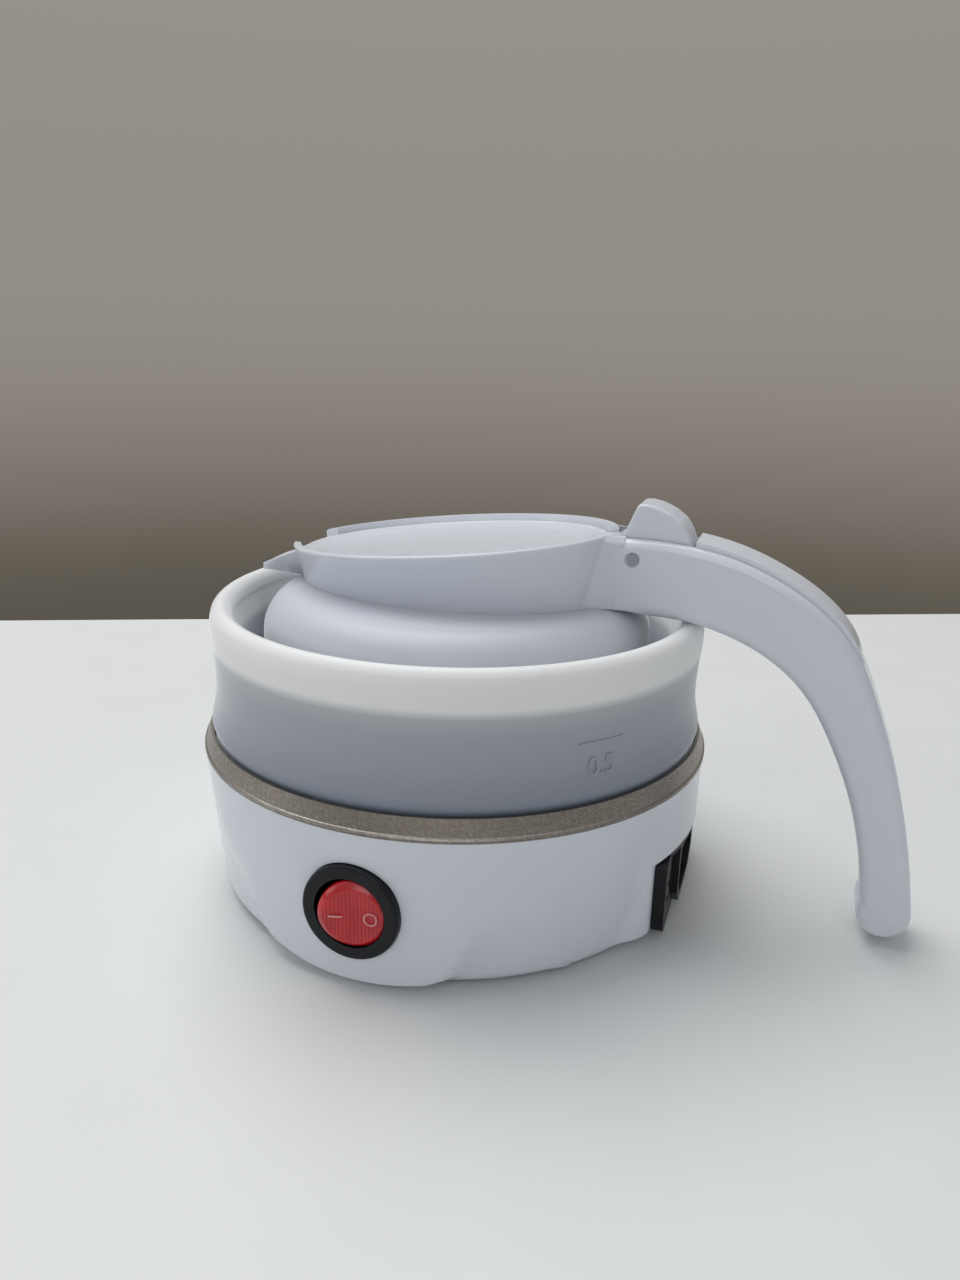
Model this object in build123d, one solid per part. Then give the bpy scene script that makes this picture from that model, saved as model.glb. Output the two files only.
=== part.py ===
from build123d import *
import os
from math import cos, radians, sin, sqrt, tan

# Collapsible travel kettle, shown folded flat. Millimetres, +Z up, spout on -X, handle on +X,
# switch on -Y. The origin lies on the table, on the axis of the round base.

# Base shell
foot_height = 1.0
base_rim_radius = 66.9
base_taper = 3.6
base_top = 39.0
base_wall = 2.4
base_corner = 4.3
base_floor_width = 6.3

# Bottom cover, its screws and the anti-slip ring
cover_gap = 0.2
cover_thickness = 2.2
boss_count = 3
boss_start_angle = 90.0
boss_inset = 17.8
boss_radius = 3.6
boss_height = 10.8
cover_screw_radius = 1.4
cover_screw_length = 9.0
screw_head_radius = 2.7
screw_head_height = 1.2
thread_gap = 0.05
foot_ring_inset = 1.5
foot_ring_width = 4.5
foot_ring_depth = 1.4

# Steel band round the joint of base and silicone
band_gap = 0.2
band_height = 4.9
band_proud = 0.1
band_taper = 1.7
band_thickness = 0.8
band_lip_radius = 0.55

# Heating dish, diffuser plate and element
dish_flange_inset = 1.9
dish_flange_width = 11.0
dish_sheet = 0.8
dish_depth = 8.0
dish_corner = 3.6
plate_inset = 9.0
plate_thickness = 3.0
element_inset = 13.0
element_radius = 3.25
element_flat = 0.5
element_arc = 300.0
element_leg = 5.0
element_sleeve = 0.35
element_pin_radius = 1.1
element_pin_length = 5.0
thermostat_radius = 8.0
thermostat_height = 6.5
thermostat_tag = 2.4
fuse_radius = 2.0
fuse_length = 12.0

# Silicone body, folded: outer wall with a rolled rim, web, turn and dome
silicone_band_gap = 0.4
silicone_foot_width = 4.5
silicone_foot_height = 4.4
rim_inset = 0.1
rim_width = 5.7
rim_rise = 32.2
rim_roll = 4.3
lower_wall_thickness = 2.7
web_thickness = 2.2
web_depth = 22.0
turn_radius = 2.0
groove_width = 7.5
dome_rise = 28.6
dome_shoulder = 10.0
silicone_thickness = 2.2
# radius as a share of the rim's outer radius, height as a share of the wall from foot to rim join
wall_outline_shares = ((1.017, 0.075), (1.002, 0.17), (0.992, 0.35), (0.993, 0.62), (0.998, 0.86))

# Collar
collar_centre = -2.0
collar_slope = 0.10
collar_rise = 13.9
collar_end_inset = 7.3
collar_side_inset = 17.8
collar_end_flare = 2.0
collar_side_flare = 6.0
collar_waist_share = 0.36
collar_waist_height_share = 0.5
collar_wall = 2.2
collar_floor = 2.0
mouth_end_inset = 8.0
mouth_side_inset = 8.0
ledge_thickness = 1.6
ledge_width = 3.0
rim_round = 0.6

# Neck ring that clamps the silicone under the collar
neck_ring_height = 2.5
neck_ring_end_margin = 3.0
neck_ring_side_margin = 1.0
neck_wall = 1.3
neck_gap = 0.2
neck_screw_count = 6
neck_screw_start_angle = 30.0
neck_screw_radius = 1.1
neck_screw_length = 7.5
neck_boss_radius = 2.5
neck_boss_height = 2.6
neck_boss_sunk_share = 0.15

# Spout
beak_tip_gap = 0.4
beak_tip_rise = 0.8
beak_tip_thickness = 1.8
beak_tip_half_width = 1.7
beak_root_inset = 7.5
beak_root_half_width = 16.5
beak_root_floor_half_width = 8.0
beak_root_drop = 0.5
beak_root_rise = 0.6
beak_wall = 1.6
beak_channel_reach = 0.3

# Handle
handle_reach = 75.2
handle_foot = 3.1
handle_cheek_rise = 5.2
handle_root_inset = 1.8
handle_half_width_top = 8.8
handle_half_width_foot = 7.4
handle_edge_round = 2.6
# along the handle's reach and up its rise, from the hinge over the back to the tip
handle_back_shares = (
    (0.203, 0.987), (0.359, 0.960), (0.508, 0.908), (0.620, 0.849), (0.701, 0.783),
    (0.805, 0.631), (0.871, 0.495), (0.927, 0.350), (0.971, 0.201), (0.998, 0.070),
)
handle_tip_share = (0.962, 0.0)
handle_belly_shares = (
    (0.840, 0.085), (0.812, 0.222), (0.762, 0.366), (0.686, 0.505), (0.584, 0.636),
    (0.444, 0.727), (0.340, 0.764), (0.173, 0.794), (0.095, 0.797),
)
cheek_front_share = (-0.040, 0.993)
cover_strip_shares = (
    (0.215, 0.9995), (0.364, 0.972), (0.517, 0.918), (0.629, 0.859), (0.7115, 0.789), (0.752, 0.724),
)
strip_seat_shares = (
    (0.215, 0.976), (0.353, 0.950), (0.500, 0.898), (0.611, 0.838), (0.690, 0.775), (0.733, 0.710),
)
strip_half_width = 6.3
strip_gap = 0.15

# Lid hinge
pin_setback = 5.3
pin_drop = 1.2
pin_radius = 1.5
pin_press_gap = 0.02
pin_running_gap = 0.08
pin_end_inset = 1.4
pin_recess_radius = 1.85
slot_half_width = 6.2
slot_floor_drop = 0.1
slot_gap = 0.4
lug_room = 1.6
lug_gap = 0.4
lug_radius = 4.2
tab_strip_gap = 0.468
tab_back_angle = 10.0
tab_crest_angle = 41.0
tab_edge_round = 1.0
# from the hinge pin, as shares of the tab's radius: front foot, front face, crest, back
tab_shares = (
    (-0.245, 0.300), (-0.165, 0.475), (0.015, 0.920), (0.115, 0.932), (0.345, 0.878), (0.545, 0.800),
)

# Lid
lid_gap = 0.6
lid_recess = 1.6
lid_thickness = 2.4
lid_border = 2.0
lid_dish_slope_width = 5.0
lid_dish_depth = 1.0
seal_thickness = 1.0
seal_gap = 0.15

# Switch
switch_height = 19.6
switch_seat_depth = 1.75
bezel_flange = 1.6
bezel_thickness = 2.2
bezel_lip = 0.7
barrel_side = 1.5
barrel_depth = 16.0
barrel_gap = 0.2
rocker_gap = 0.35
rocker_radius = 8.15
rocker_pivot_depth = 6.5
rocker_tilt = 11.0
rocker_axle_radius = 1.5
rocker_axle_gap = 0.08
rocker_proud = 0.8
rocker_depth = 3.5
rocker_rib_count = 6
rocker_rib_start_share = 0.12
rocker_rib_pitch_share = 0.15
rocker_rib_height = 0.35
rocker_rib_width = 0.6
barrel_wall = 1.2
apron_set_back = 0.6
apron_top = 31.0
apron_half_width = 36.0
apron_round = 1.6
# across, as shares of the apron's half width, and up, as shares of the height of its top
apron_shares = (
    (-1.0, 0.68), (-0.84, 0.58), (-0.785, 0.37), (-0.70, 0.215), (-0.53, 0.135), (-0.20, 0.078), (0.06, 0.066),
    (0.34, 0.088), (0.56, 0.145), (0.655, 0.28), (0.70, 0.42), (0.755, 0.57), (0.88, 0.70), (1.0, 0.76),
)

# Inlet
inlet_pad_half_width = 26.0
inlet_pad_set_back = 0.4
inlet_seat_depth = 6.2
inlet_ceiling = 22.6
inlet_seat_wall = 2.4
inlet_centre = 12.0
inlet_flange_length = 50.0
inlet_flange_height = 19.6
inlet_flange_thickness = 3.0
inlet_screw_spacing = 40.0
inlet_screw_radius = 1.5
inlet_screw_slot = 0.6
inlet_nose_half_width = 14.0
inlet_nose_half_height = 8.4
inlet_nose_reach = 4.7
inlet_nose_chamfer = 4.5
inlet_body_half_width = 13.0
inlet_body_half_height = 8.0
inlet_body_depth = 15.0
inlet_socket_half_width = 11.8
inlet_socket_half_height = 7.0
inlet_back_wall = 2.0
inlet_body_gap = 0.3
inlet_visor_half_width = 20.0
inlet_visor_thickness = 1.4
blade_spacing = 7.0
blade_offset = 2.0
blade_width = 4.0
blade_thickness = 2.0
blade_length = 12.0
blade_tail = 8.0
blade_gap = 0.05

# Wiring inside the base
wire_radius = 1.2
wire_lead = 5.0
wire_bend_share = 0.45
# middle points of each wire, as shares of the diffuser plate's radius and of the dish floor's height
live_shares = ((0.72, -0.45, 0.42),)
load_shares = ((-0.04, -0.45, 0.38),)
heater_shares = ((0.20, 0.25, 0.26), (0.50, 0.36, 0.22))
neutral_shares = ((0.30, 0.32, 0.46), (-0.15, 0.47, 0.50), (-0.32, 0.45, 0.70))
return_shares = ((-0.32, -0.48, 0.70), (-0.20, -0.50, 0.30), (0.30, -0.42, 0.20))
earth_shares = ((0.50, 0.03, 0.45),)
earth_end_shares = (0.33, 0.07)

# Cuts run past what they cut by this much
overrun = 3.0


# Blocks and drums that stand on their place, or reach out from it along +X
upright = (Align.CENTER, Align.CENTER, Align.MIN)
outward = (Align.MIN, Align.CENTER, Align.CENTER)


def plane_xz(shape):
    return Plane.XZ * shape


def outline(points, rounds=()):
    """A closed flat outline; rounds pairs the index of a point with its corner radius."""
    face = Sketch() + Polygon(*points, align=None)
    for index, radius in rounds:
        corner = Vector(*points[index])
        vertex = face.vertices().sort_by_distance(corner)[0]
        face = fillet(vertex, radius)
    return face


def turned(points, rounds=()):
    """The outline, given as radius and height, turned about the kettle's axis."""
    return revolve(plane_xz(outline(points, rounds)), Axis.Z)


def post(x, y, bottom, top, radius):
    return Pos(x, y, bottom) * Cylinder(radius, top - bottom, align=upright)


def ring_places(count, radius, start=0.0):
    places = []
    for index in range(count):
        angle = radians(start + 360 / count * index)
        places.append((radius * cos(angle), radius * sin(angle)))
    return places


def block(x_low, x_high, y_half, z_low, z_high):
    middle = Pos((x_low + x_high) / 2, 0, (z_low + z_high) / 2)
    return middle * Box(x_high - x_low, y_half * 2, z_high - z_low)


# Base: heights and radii that follow from the values above
base_foot_radius = base_rim_radius - base_taper
base_slope = base_taper / (base_top - foot_height)
base_floor_top = foot_height + base_wall
cover_top = foot_height + cover_thickness
cover_opening_radius = base_foot_radius - base_floor_width
foot_ring_radius = cover_opening_radius - foot_ring_inset
boss_circle_radius = base_foot_radius - boss_inset
boss_top = cover_top + boss_height
screw_places = ring_places(boss_count, boss_circle_radius, boss_start_angle)
band_bottom = base_top + band_gap
band_top = band_bottom + band_height
band_low_radius = base_rim_radius + band_proud
band_high_radius = band_low_radius - band_taper
switch_face = base_rim_radius - switch_seat_depth
rocker_opening_radius = rocker_radius + rocker_gap
barrel_radius = rocker_opening_radius + barrel_side
bezel_radius = barrel_radius + bezel_flange
apron_radius = base_rim_radius - apron_set_back
inlet_pad_radius = base_rim_radius - inlet_pad_set_back
inlet_seat = inlet_pad_radius - inlet_seat_depth

# Heater
dish_top = base_top + dish_sheet
dish_floor = base_top - dish_depth
dish_flange_radius = base_rim_radius - dish_flange_inset
dish_radius = dish_flange_radius - dish_flange_width
plate_bottom = dish_floor - plate_thickness
plate_radius = dish_radius - plate_inset
element_ring_radius = plate_radius - element_inset
element_height = plate_bottom - element_radius + element_flat
fuse_place = -plate_radius / 3

# Silicone body
silicone_foot_outer = band_high_radius - band_thickness - silicone_band_gap
silicone_foot_inner = silicone_foot_outer - silicone_foot_width
silicone_foot_top = dish_top + silicone_foot_height
rim_outer_radius = silicone_foot_outer - rim_inset
rim_inner_radius = rim_outer_radius - rim_width
wall_inner_radius = rim_outer_radius - lower_wall_thickness
rim_join = dish_top + rim_rise
rim_crest = rim_join + rim_roll
turn_height = rim_join - web_depth
dome_radius = rim_inner_radius - groove_width
dome_top = turn_height + dome_rise
dome_underside = dome_top - silicone_thickness

# Collar, spout, hinge and handle
collar_floor_top = dome_top + collar_floor
collar_rim_height = dome_top + collar_rise
collar_half_length = dome_radius - collar_end_inset
collar_half_width = dome_radius - collar_side_inset
collar_foot_half_length = collar_half_length - collar_end_flare
collar_foot_half_width = collar_half_width - collar_side_flare
mouth_half_length = collar_foot_half_length - mouth_end_inset
mouth_half_width = collar_foot_half_width - mouth_side_inset
beak_tip = rim_inner_radius - beak_tip_gap
beak_tip_top = dome_top + beak_tip_rise
beak_root = collar_half_length - collar_centre - beak_root_inset
pin_x = collar_centre + collar_half_length + pin_setback
pin_z = collar_rim_height - pin_drop
slot_floor = dome_top - slot_floor_drop
handle_root = pin_x - handle_root_inset
handle_rise = pin_z + handle_cheek_rise - handle_foot
tab_radius = cover_strip_shares[0][0] * handle_reach - handle_root_inset - tab_strip_gap


def base_blank():
    """The round wall and its floor ring, with bosses for the bottom cover."""
    inner_foot = base_foot_radius - base_wall
    inner_rim = base_rim_radius - base_wall
    points = (
        (cover_opening_radius, foot_height),
        (base_foot_radius, foot_height),
        (base_rim_radius, base_top),
        (inner_rim, base_top),
        (inner_foot, base_floor_top),
        (cover_opening_radius, base_floor_top),
    )
    return turned(points, ((1, base_corner), (4, base_corner - base_wall)))


def cover_bosses():
    bosses = Part()
    reach = inner_wall_radius(cover_top) - boss_circle_radius
    for index in range(boss_count):
        boss = post(boss_circle_radius, 0, cover_top, boss_top, boss_radius)
        rib = Box(reach, base_wall, boss_top - base_floor_top, align=(Align.MIN, Align.CENTER, Align.MIN))
        hole_top = cover_top + cover_screw_length
        hole = post(boss_circle_radius, 0, cover_top - overrun, hole_top, cover_screw_radius + thread_gap)
        boss = boss + Pos(boss_circle_radius, 0, base_floor_top) * rib - hole
        bosses = bosses + Rot(Z=boss_start_angle + 360 / boss_count * index) * boss
    return bosses


def inner_wall_radius(height):
    return base_foot_radius - base_wall + base_slope * (height - foot_height)


def switch_apron():
    """The tongue round the switch: upright, so that it stands proud of the tapering wall low down."""
    points = [(x * apron_half_width, z * apron_top) for x, z in apron_shares]
    edge = Spline(*points)
    closing = Polyline(points[-1], (apron_half_width, apron_top), (-apron_half_width, apron_top), points[0])
    tongue = extrude(plane_xz(make_face(edge + closing)), amount=apron_radius + overrun)
    outside = post(0, 0, 0, apron_top, apron_radius)
    apron = (tongue & outside) - post(0, 0, 0, apron_top, base_foot_radius - base_wall)
    return fillet([edge for edge in apron.edges() if edge.center().Y < -base_foot_radius], apron_round)


def inlet_pad():
    """The upright pad under the handle that carries the inlet's flat seat."""
    pad = post(0, 0, foot_height, base_top, inlet_pad_radius)
    behind = inlet_seat - inlet_seat_wall
    pad = pad & block(behind, inlet_pad_radius + overrun, inlet_pad_half_width, foot_height, base_top)
    return pad - inside_of_base()


def inside_of_base():
    """The room inside the round wall, above the inlet's backing wall."""
    above = inlet_ceiling + inlet_seat_wall
    return turned((
        (0, above),
        (inner_wall_radius(above), above),
        (base_rim_radius - base_wall, base_top),
        (base_rim_radius - base_wall, base_top + overrun),
        (0, base_top + overrun),
    ))


def make_base_shell():
    shell = base_blank() + switch_apron() + inlet_pad() + cover_bosses()
    facing = Pos(0, -switch_face, switch_height) * Rot(X=90)
    spot = facing * Cylinder(bezel_radius + barrel_gap, overrun * 2, align=upright)
    bore = facing * Cylinder(barrel_radius + barrel_gap, barrel_depth * 2)
    recess = block(inlet_seat, inlet_pad_radius + overrun, inlet_pad_half_width + overrun, 0, inlet_ceiling)
    opening = Pos(inlet_seat, 0, inlet_centre) * Box(
        inlet_body_depth,
        (inlet_body_half_width + inlet_body_gap) * 2,
        (inlet_body_half_height + inlet_body_gap) * 2,
    )
    shell = shell - spot - bore - recess - opening
    for y in (-inlet_screw_spacing / 2, inlet_screw_spacing / 2):
        hole = Pos(inlet_seat, y, inlet_centre) * Rot(Y=90) * Cylinder(
            inlet_screw_radius + thread_gap, inlet_body_depth
        )
        shell = shell - hole
    return shell


def make_bottom_cover():
    cover = post(0, 0, foot_height, cover_top, cover_opening_radius - cover_gap)
    for x, y in screw_places:
        cover = cover - post(x, y, 0, cover_top + overrun, cover_screw_radius + cover_gap)
        cover = cover - post(x, y, 0, foot_height + screw_head_height, screw_head_radius + cover_gap)
    groove_top = foot_ring_depth
    ring = post(0, 0, 0, groove_top, foot_ring_radius)
    return cover - (ring - post(0, 0, 0, groove_top, foot_ring_radius - foot_ring_width))


def make_foot_ring():
    ring = post(0, 0, 0, foot_ring_depth, foot_ring_radius)
    return ring - post(0, 0, 0, foot_ring_depth, foot_ring_radius - foot_ring_width)


def make_cover_screws():
    screws = []
    for x, y in screw_places:
        head = post(x, y, foot_height, foot_height + screw_head_height, screw_head_radius)
        screws.append(head + post(x, y, foot_height, foot_height + cover_screw_length, cover_screw_radius))
    return Compound(children=screws)


def make_steel_band():
    low_inner = band_low_radius - band_thickness
    high_inner = band_high_radius - band_thickness
    band = turned((
        (low_inner, band_bottom),
        (band_low_radius, band_bottom),
        (band_high_radius, band_top),
        (high_inner, band_top),
    ))
    lip_centre = (band_low_radius - band_lip_radius, band_bottom + band_lip_radius)
    return band + revolve(plane_xz(Pos(*lip_centre) * Circle(band_lip_radius)), Axis.Z)


def make_heating_dish():
    points = (
        (0, dish_floor),
        (dish_radius, dish_floor),
        (dish_radius, base_top),
        (dish_flange_radius, base_top),
        (dish_flange_radius, dish_top),
        (dish_radius - dish_sheet, dish_top),
        (dish_radius - dish_sheet, dish_floor + dish_sheet),
        (0, dish_floor + dish_sheet),
    )
    return turned(points, ((1, dish_corner), (6, dish_corner - dish_sheet)))


def make_diffuser_plate():
    return post(0, 0, plate_bottom, dish_floor, plate_radius)


def element_ends():
    half_gap = (360 - element_arc) / 2
    ends = []
    for side in (-1, 1):
        angle = radians(side * half_gap)
        ends.append((element_ring_radius * cos(angle), element_ring_radius * sin(angle)))
    return ends


def make_heating_element():
    """A tube bent to an open ring, its two ends turned down into sleeved terminals."""
    tube = Pos(element_ring_radius, 0, 0) * plane_xz(Circle(element_radius))
    turn = revolve(tube, Axis.Z, revolution_arc=element_arc)
    ring = Pos(0, 0, element_height) * Rot(Z=(360 - element_arc) / 2) * turn
    ring = ring - post(0, 0, plate_bottom, plate_bottom + overrun, plate_radius)
    bottom = element_height - element_leg
    for x, y in element_ends():
        ring = ring + post(x, y, bottom, plate_bottom, element_radius + element_sleeve)
        ring = ring + post(x, y, bottom - element_pin_length, element_height, element_pin_radius)
    return ring


def make_thermostat():
    body = post(0, 0, plate_bottom - thermostat_height, plate_bottom, thermostat_radius)
    tag_height = plate_bottom - thermostat_height - thermostat_tag
    for side in (-1, 1):
        tag = Box(thermostat_tag * 2, dish_sheet, thermostat_tag * 2)
        body = body + Pos(0, side * thermostat_radius / 2, tag_height) * tag
    return body


def make_thermal_fuse():
    """A sealed cut-out tube held to the plate by its own strap."""
    place = Pos(fuse_place, 0, plate_bottom - fuse_radius)
    tube = place * Rot(X=90) * Cylinder(fuse_radius, fuse_length)
    strap = place * Rot(X=90) * (Cylinder(fuse_radius + dish_sheet, fuse_length / 3))
    return (tube + strap) & post(0, 0, 0, plate_bottom, plate_radius)


def make_silicone_lower_wall():
    """Foot bead under the band, tall outer wall and the rolled rim."""
    rise = rim_join - dish_top
    bulge = [(rim_outer_radius * r, dish_top + rise * h) for r, h in wall_outline_shares]
    start = (silicone_foot_outer, silicone_foot_top)
    end = (rim_outer_radius, rim_join)
    outer = Spline(start, *bulge, end)
    middle = (rim_outer_radius + rim_inner_radius) / 2
    crest = ThreePointArc(end, (middle, rim_crest), (rim_inner_radius, rim_join))
    web_edge = rim_inner_radius + web_thickness
    inner = Polyline(
        (rim_inner_radius, rim_join),
        (web_edge, rim_join),
        (wall_inner_radius, rim_join - web_thickness),
        (wall_inner_radius, silicone_foot_top),
        (silicone_foot_inner, silicone_foot_top),
        (silicone_foot_inner, dish_top),
        (silicone_foot_outer, dish_top),
        start,
    )
    return revolve(plane_xz(make_face(outer + crest + inner)), Axis.Z)


def make_silicone_fold():
    """The web that folds down from the rim and turns up again into the dome."""
    small = turn_radius - web_thickness / 2
    large = turn_radius + web_thickness / 2
    centre = dome_radius - silicone_thickness / 2 + turn_radius
    web_inner = rim_inner_radius
    web_outer = rim_inner_radius + web_thickness
    outer_turn = ThreePointArc(
        (centre + large, turn_height), (centre, turn_height - large), (centre - large, turn_height)
    )
    inner_turn = ThreePointArc(
        (centre - small, turn_height), (centre, turn_height - small), (centre + small, turn_height)
    )
    lines = Line((web_outer, rim_join), (centre + large, turn_height))
    lines = lines + Line((centre - large, turn_height), (centre - small, turn_height))
    lines = lines + Polyline((centre + small, turn_height), (web_inner, rim_join), (web_outer, rim_join))
    return revolve(plane_xz(make_face(outer_turn + inner_turn + lines)), Axis.Z)


def make_silicone_upper_wall():
    """The dome with an oval neck hole and holes for the neck screws."""
    inner = dome_radius - silicone_thickness
    points = (
        (0, dome_top),
        (dome_radius, dome_top),
        (dome_radius, turn_height),
        (inner, turn_height),
        (inner, dome_underside),
        (0, dome_underside),
    )
    dome = turned(points, ((1, dome_shoulder), (4, dome_shoulder - silicone_thickness)))
    hole = oval(mouth_half_length + neck_wall + neck_gap, mouth_half_width + neck_wall + neck_gap)
    dome = dome - Pos(0, 0, dome_underside - overrun) * extrude(hole, silicone_thickness + overrun * 2)
    for x, y in neck_screw_places():
        dome = dome - post(x, y, 0, dome_top + overrun, neck_screw_radius + neck_gap)
    return dome


def oval(half_length, half_width):
    """A flat oval about the collar's own centre."""
    return Pos(collar_centre, 0) * Ellipse(half_length, half_width)


def rim_plane(drop=0.0):
    """The collar's slanted top, or a plane that lies parallel to it and lower by drop."""
    height = rim_height(collar_centre, drop)
    return Plane(origin=(collar_centre, 0, height), x_dir=(1, 0, collar_slope), z_dir=(-collar_slope, 0, 1))


def rim_height(x, drop=0.0):
    """Height, at x, of the rim plane or of one that lies lower by drop, measured square to it."""
    return collar_rim_height + collar_slope * x - drop * sqrt(1 + collar_slope**2)


def rim_oval(inset=0.0, drop=0.0):
    stretch = sqrt(1 + collar_slope**2)
    return rim_plane(drop) * Ellipse((collar_half_length - inset) * stretch, collar_half_width - inset)


def collar_body(inset, bottom, rise):
    """The flaring collar, moved in by inset, from the height bottom to the rim and rise above it."""
    foot = oval(collar_foot_half_length - inset, collar_foot_half_width - inset)
    waist_height = dome_top + collar_rise * collar_waist_height_share
    tilt = collar_slope / 2
    waist_plane = Plane(origin=(collar_centre, 0, waist_height), x_dir=(1, 0, tilt), z_dir=(-tilt, 0, 1))
    length = collar_foot_half_length + collar_end_flare * collar_waist_share
    width = collar_foot_half_width + collar_side_flare * collar_waist_share
    waist = waist_plane * Ellipse(length - inset, width - inset)
    body = loft([Pos(0, 0, dome_top) * foot, waist, rim_oval(inset)])
    if rise:
        body = body + extrude(rim_oval(inset), rise)
    if bottom > dome_top:
        body = body - Pos(0, 0, dome_top) * extrude(oval(handle_reach, handle_reach), bottom - dome_top)
    return body


def ledge_depth():
    return lid_recess + lid_thickness + seal_thickness + seal_gap


def beak(inset, top_gap):
    """A prow that narrows from the collar to the tip; with an inset it is the channel inside."""
    root_top = collar_rim_height - collar_slope * beak_root - beak_root_drop + top_gap
    half = beak_root_half_width - inset
    floor_half = beak_root_floor_half_width - inset / 2
    root_low = dome_top + beak_root_rise + inset
    root_points = ((-half, root_top), (-floor_half, root_low), (floor_half, root_low), (half, root_top))
    tip_low = beak_tip_top - beak_tip_thickness + inset / 2
    tip_half = beak_tip_half_width - inset / 3
    tip_top = beak_tip_top + top_gap
    tip_points = ((-tip_half, tip_top), (-tip_half, tip_low), (tip_half, tip_low), (tip_half, tip_top))
    root = Polygon(*root_points, align=None)
    tip = Polygon(*tip_points, align=None)
    reach = beak_tip + beak_channel_reach * inset / beak_wall
    facing = Plane(origin=(0, 0, 0), x_dir=(0, -1, 0), z_dir=(-1, 0, 0))
    return loft([facing * Pos(0, 0, beak_root) * root, facing * Pos(0, 0, reach) * tip], ruled=True)


def handle_point(share):
    return handle_root + share[0] * handle_reach, handle_foot + share[1] * handle_rise


def handle_blank():
    back = [handle_point(share) for share in handle_back_shares]
    belly = [handle_point(share) for share in handle_belly_shares]
    tip = handle_point(handle_tip_share)
    cheek = handle_point(cheek_front_share)
    root_x = collar_centre + collar_foot_half_length - collar_wall / 2
    over = Spline(cheek, *back)
    under = Spline(*belly)
    toe = ThreePointArc(back[-1], tip, belly[0])
    over_dome = (dome_radius - dome_shoulder / 2, dome_top)
    root = Polyline(belly[-1], over_dome, (root_x, dome_top), (root_x, cheek[1] - ledge_width), cheek)
    return extrude(plane_xz(make_face(over + toe + under + root)), handle_half_width_top, both=True)


def handle_taper():
    """A wedge that narrows the handle towards its foot."""
    top = handle_foot + handle_rise + overrun
    half_top = handle_half_width_top
    half_foot = handle_half_width_foot
    shape = Polygon((-half_foot, 0), (half_foot, 0), (half_top, top), (-half_top, top), align=None)
    facing = Plane(origin=(0, 0, 0), x_dir=(0, 1, 0), z_dir=(1, 0, 0))
    return extrude(facing * shape, handle_root + handle_reach + overrun * 2)


def pin_cylinder(radius, half_length):
    return Pos(pin_x, 0, pin_z) * Rot(X=90) * Cylinder(radius, half_length * 2)


def hinge_slot():
    """Room for the lid's lug: a deep pocket behind the collar and a shallow notch through it."""
    top = handle_foot + handle_rise + overrun
    swing = pin_cylinder(tab_radius + slot_gap * 2, slot_half_width)
    deep = swing & block(pin_x, pin_x + tab_radius * 2, slot_half_width, slot_floor, top)
    boss_room = pin_cylinder(lug_radius + lug_room, slot_half_width)
    front = pin_x - lug_radius - lug_room
    back = pin_x + tab_radius + slot_gap * 2
    above = block(front, back, slot_half_width, pin_z, top)
    notch = block(collar_centre, pin_x, slot_half_width, pin_z - slot_gap, top)
    return deep + boss_room + above + notch


def cover_strip(gap):
    """The strip let into the handle's back, with a rounded tongue at its lower end, wider by gap."""
    crown = [handle_point(share) for share in cover_strip_shares]
    seat = [handle_point(share) for share in reversed(strip_seat_shares)]
    side = make_face(Spline(*crown) + Line(crown[-1], seat[0]) + Spline(*seat) + Line(seat[-1], crown[0]))
    strip = extrude(plane_xz(side), strip_half_width + gap, both=True)
    tip = Vector(*crown[-1]) + (Vector(*seat[0]) - Vector(*crown[-1])) / 2
    across = (Vector(*crown[-1]) - Vector(*seat[0])).normalized()
    along = Vector(across.Y, -across.X)
    middle = tip - along * strip_half_width
    facing = Plane(
        origin=(middle.X, 0, middle.Y), x_dir=(along.X, 0, along.Y), z_dir=(across.X, 0, across.Y)
    )
    beyond = Box(handle_root, handle_root, overrun * 4, align=outward)
    corners = facing * (beyond - Cylinder(strip_half_width + gap, overrun * 4))
    return strip - corners


def neck_screw_places():
    inset = collar_wall + neck_boss_radius * (1 - neck_boss_sunk_share)
    length = collar_foot_half_length - inset
    width = collar_foot_half_width - inset
    places = []
    for x, y in ring_places(neck_screw_count, 1, neck_screw_start_angle):
        places.append((collar_centre + x * length, y * width))
    return places


def slanted_slab(drop, thickness):
    """A slab that lies parallel to the rim, its top lower than the rim by drop."""
    return extrude(rim_plane(drop) * Rectangle(handle_reach * 2, handle_reach * 2), -thickness)


def neck_bosses():
    bosses = None
    for x, y in neck_screw_places():
        boss = post(x, y, dome_top, collar_floor_top + neck_boss_height, neck_boss_radius)
        bosses = boss if bosses is None else bosses + boss
    return bosses


def rounded_handle():
    handle = handle_blank() & handle_taper()
    beyond = pin_x + tab_radius
    long_edges = []
    for edge in handle.edges():
        if edge.center().X > beyond and abs(edge.center().Y) > strip_half_width:
            long_edges.append(edge)
    return fillet(long_edges, handle_edge_round)


def collar_blank():
    """The collar before it is hollowed, its rim rounded outside."""
    body = collar_body(0, dome_top, 0)
    return fillet(body.faces().sort_by(Axis.Z)[-1].edges(), rim_round)


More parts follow.
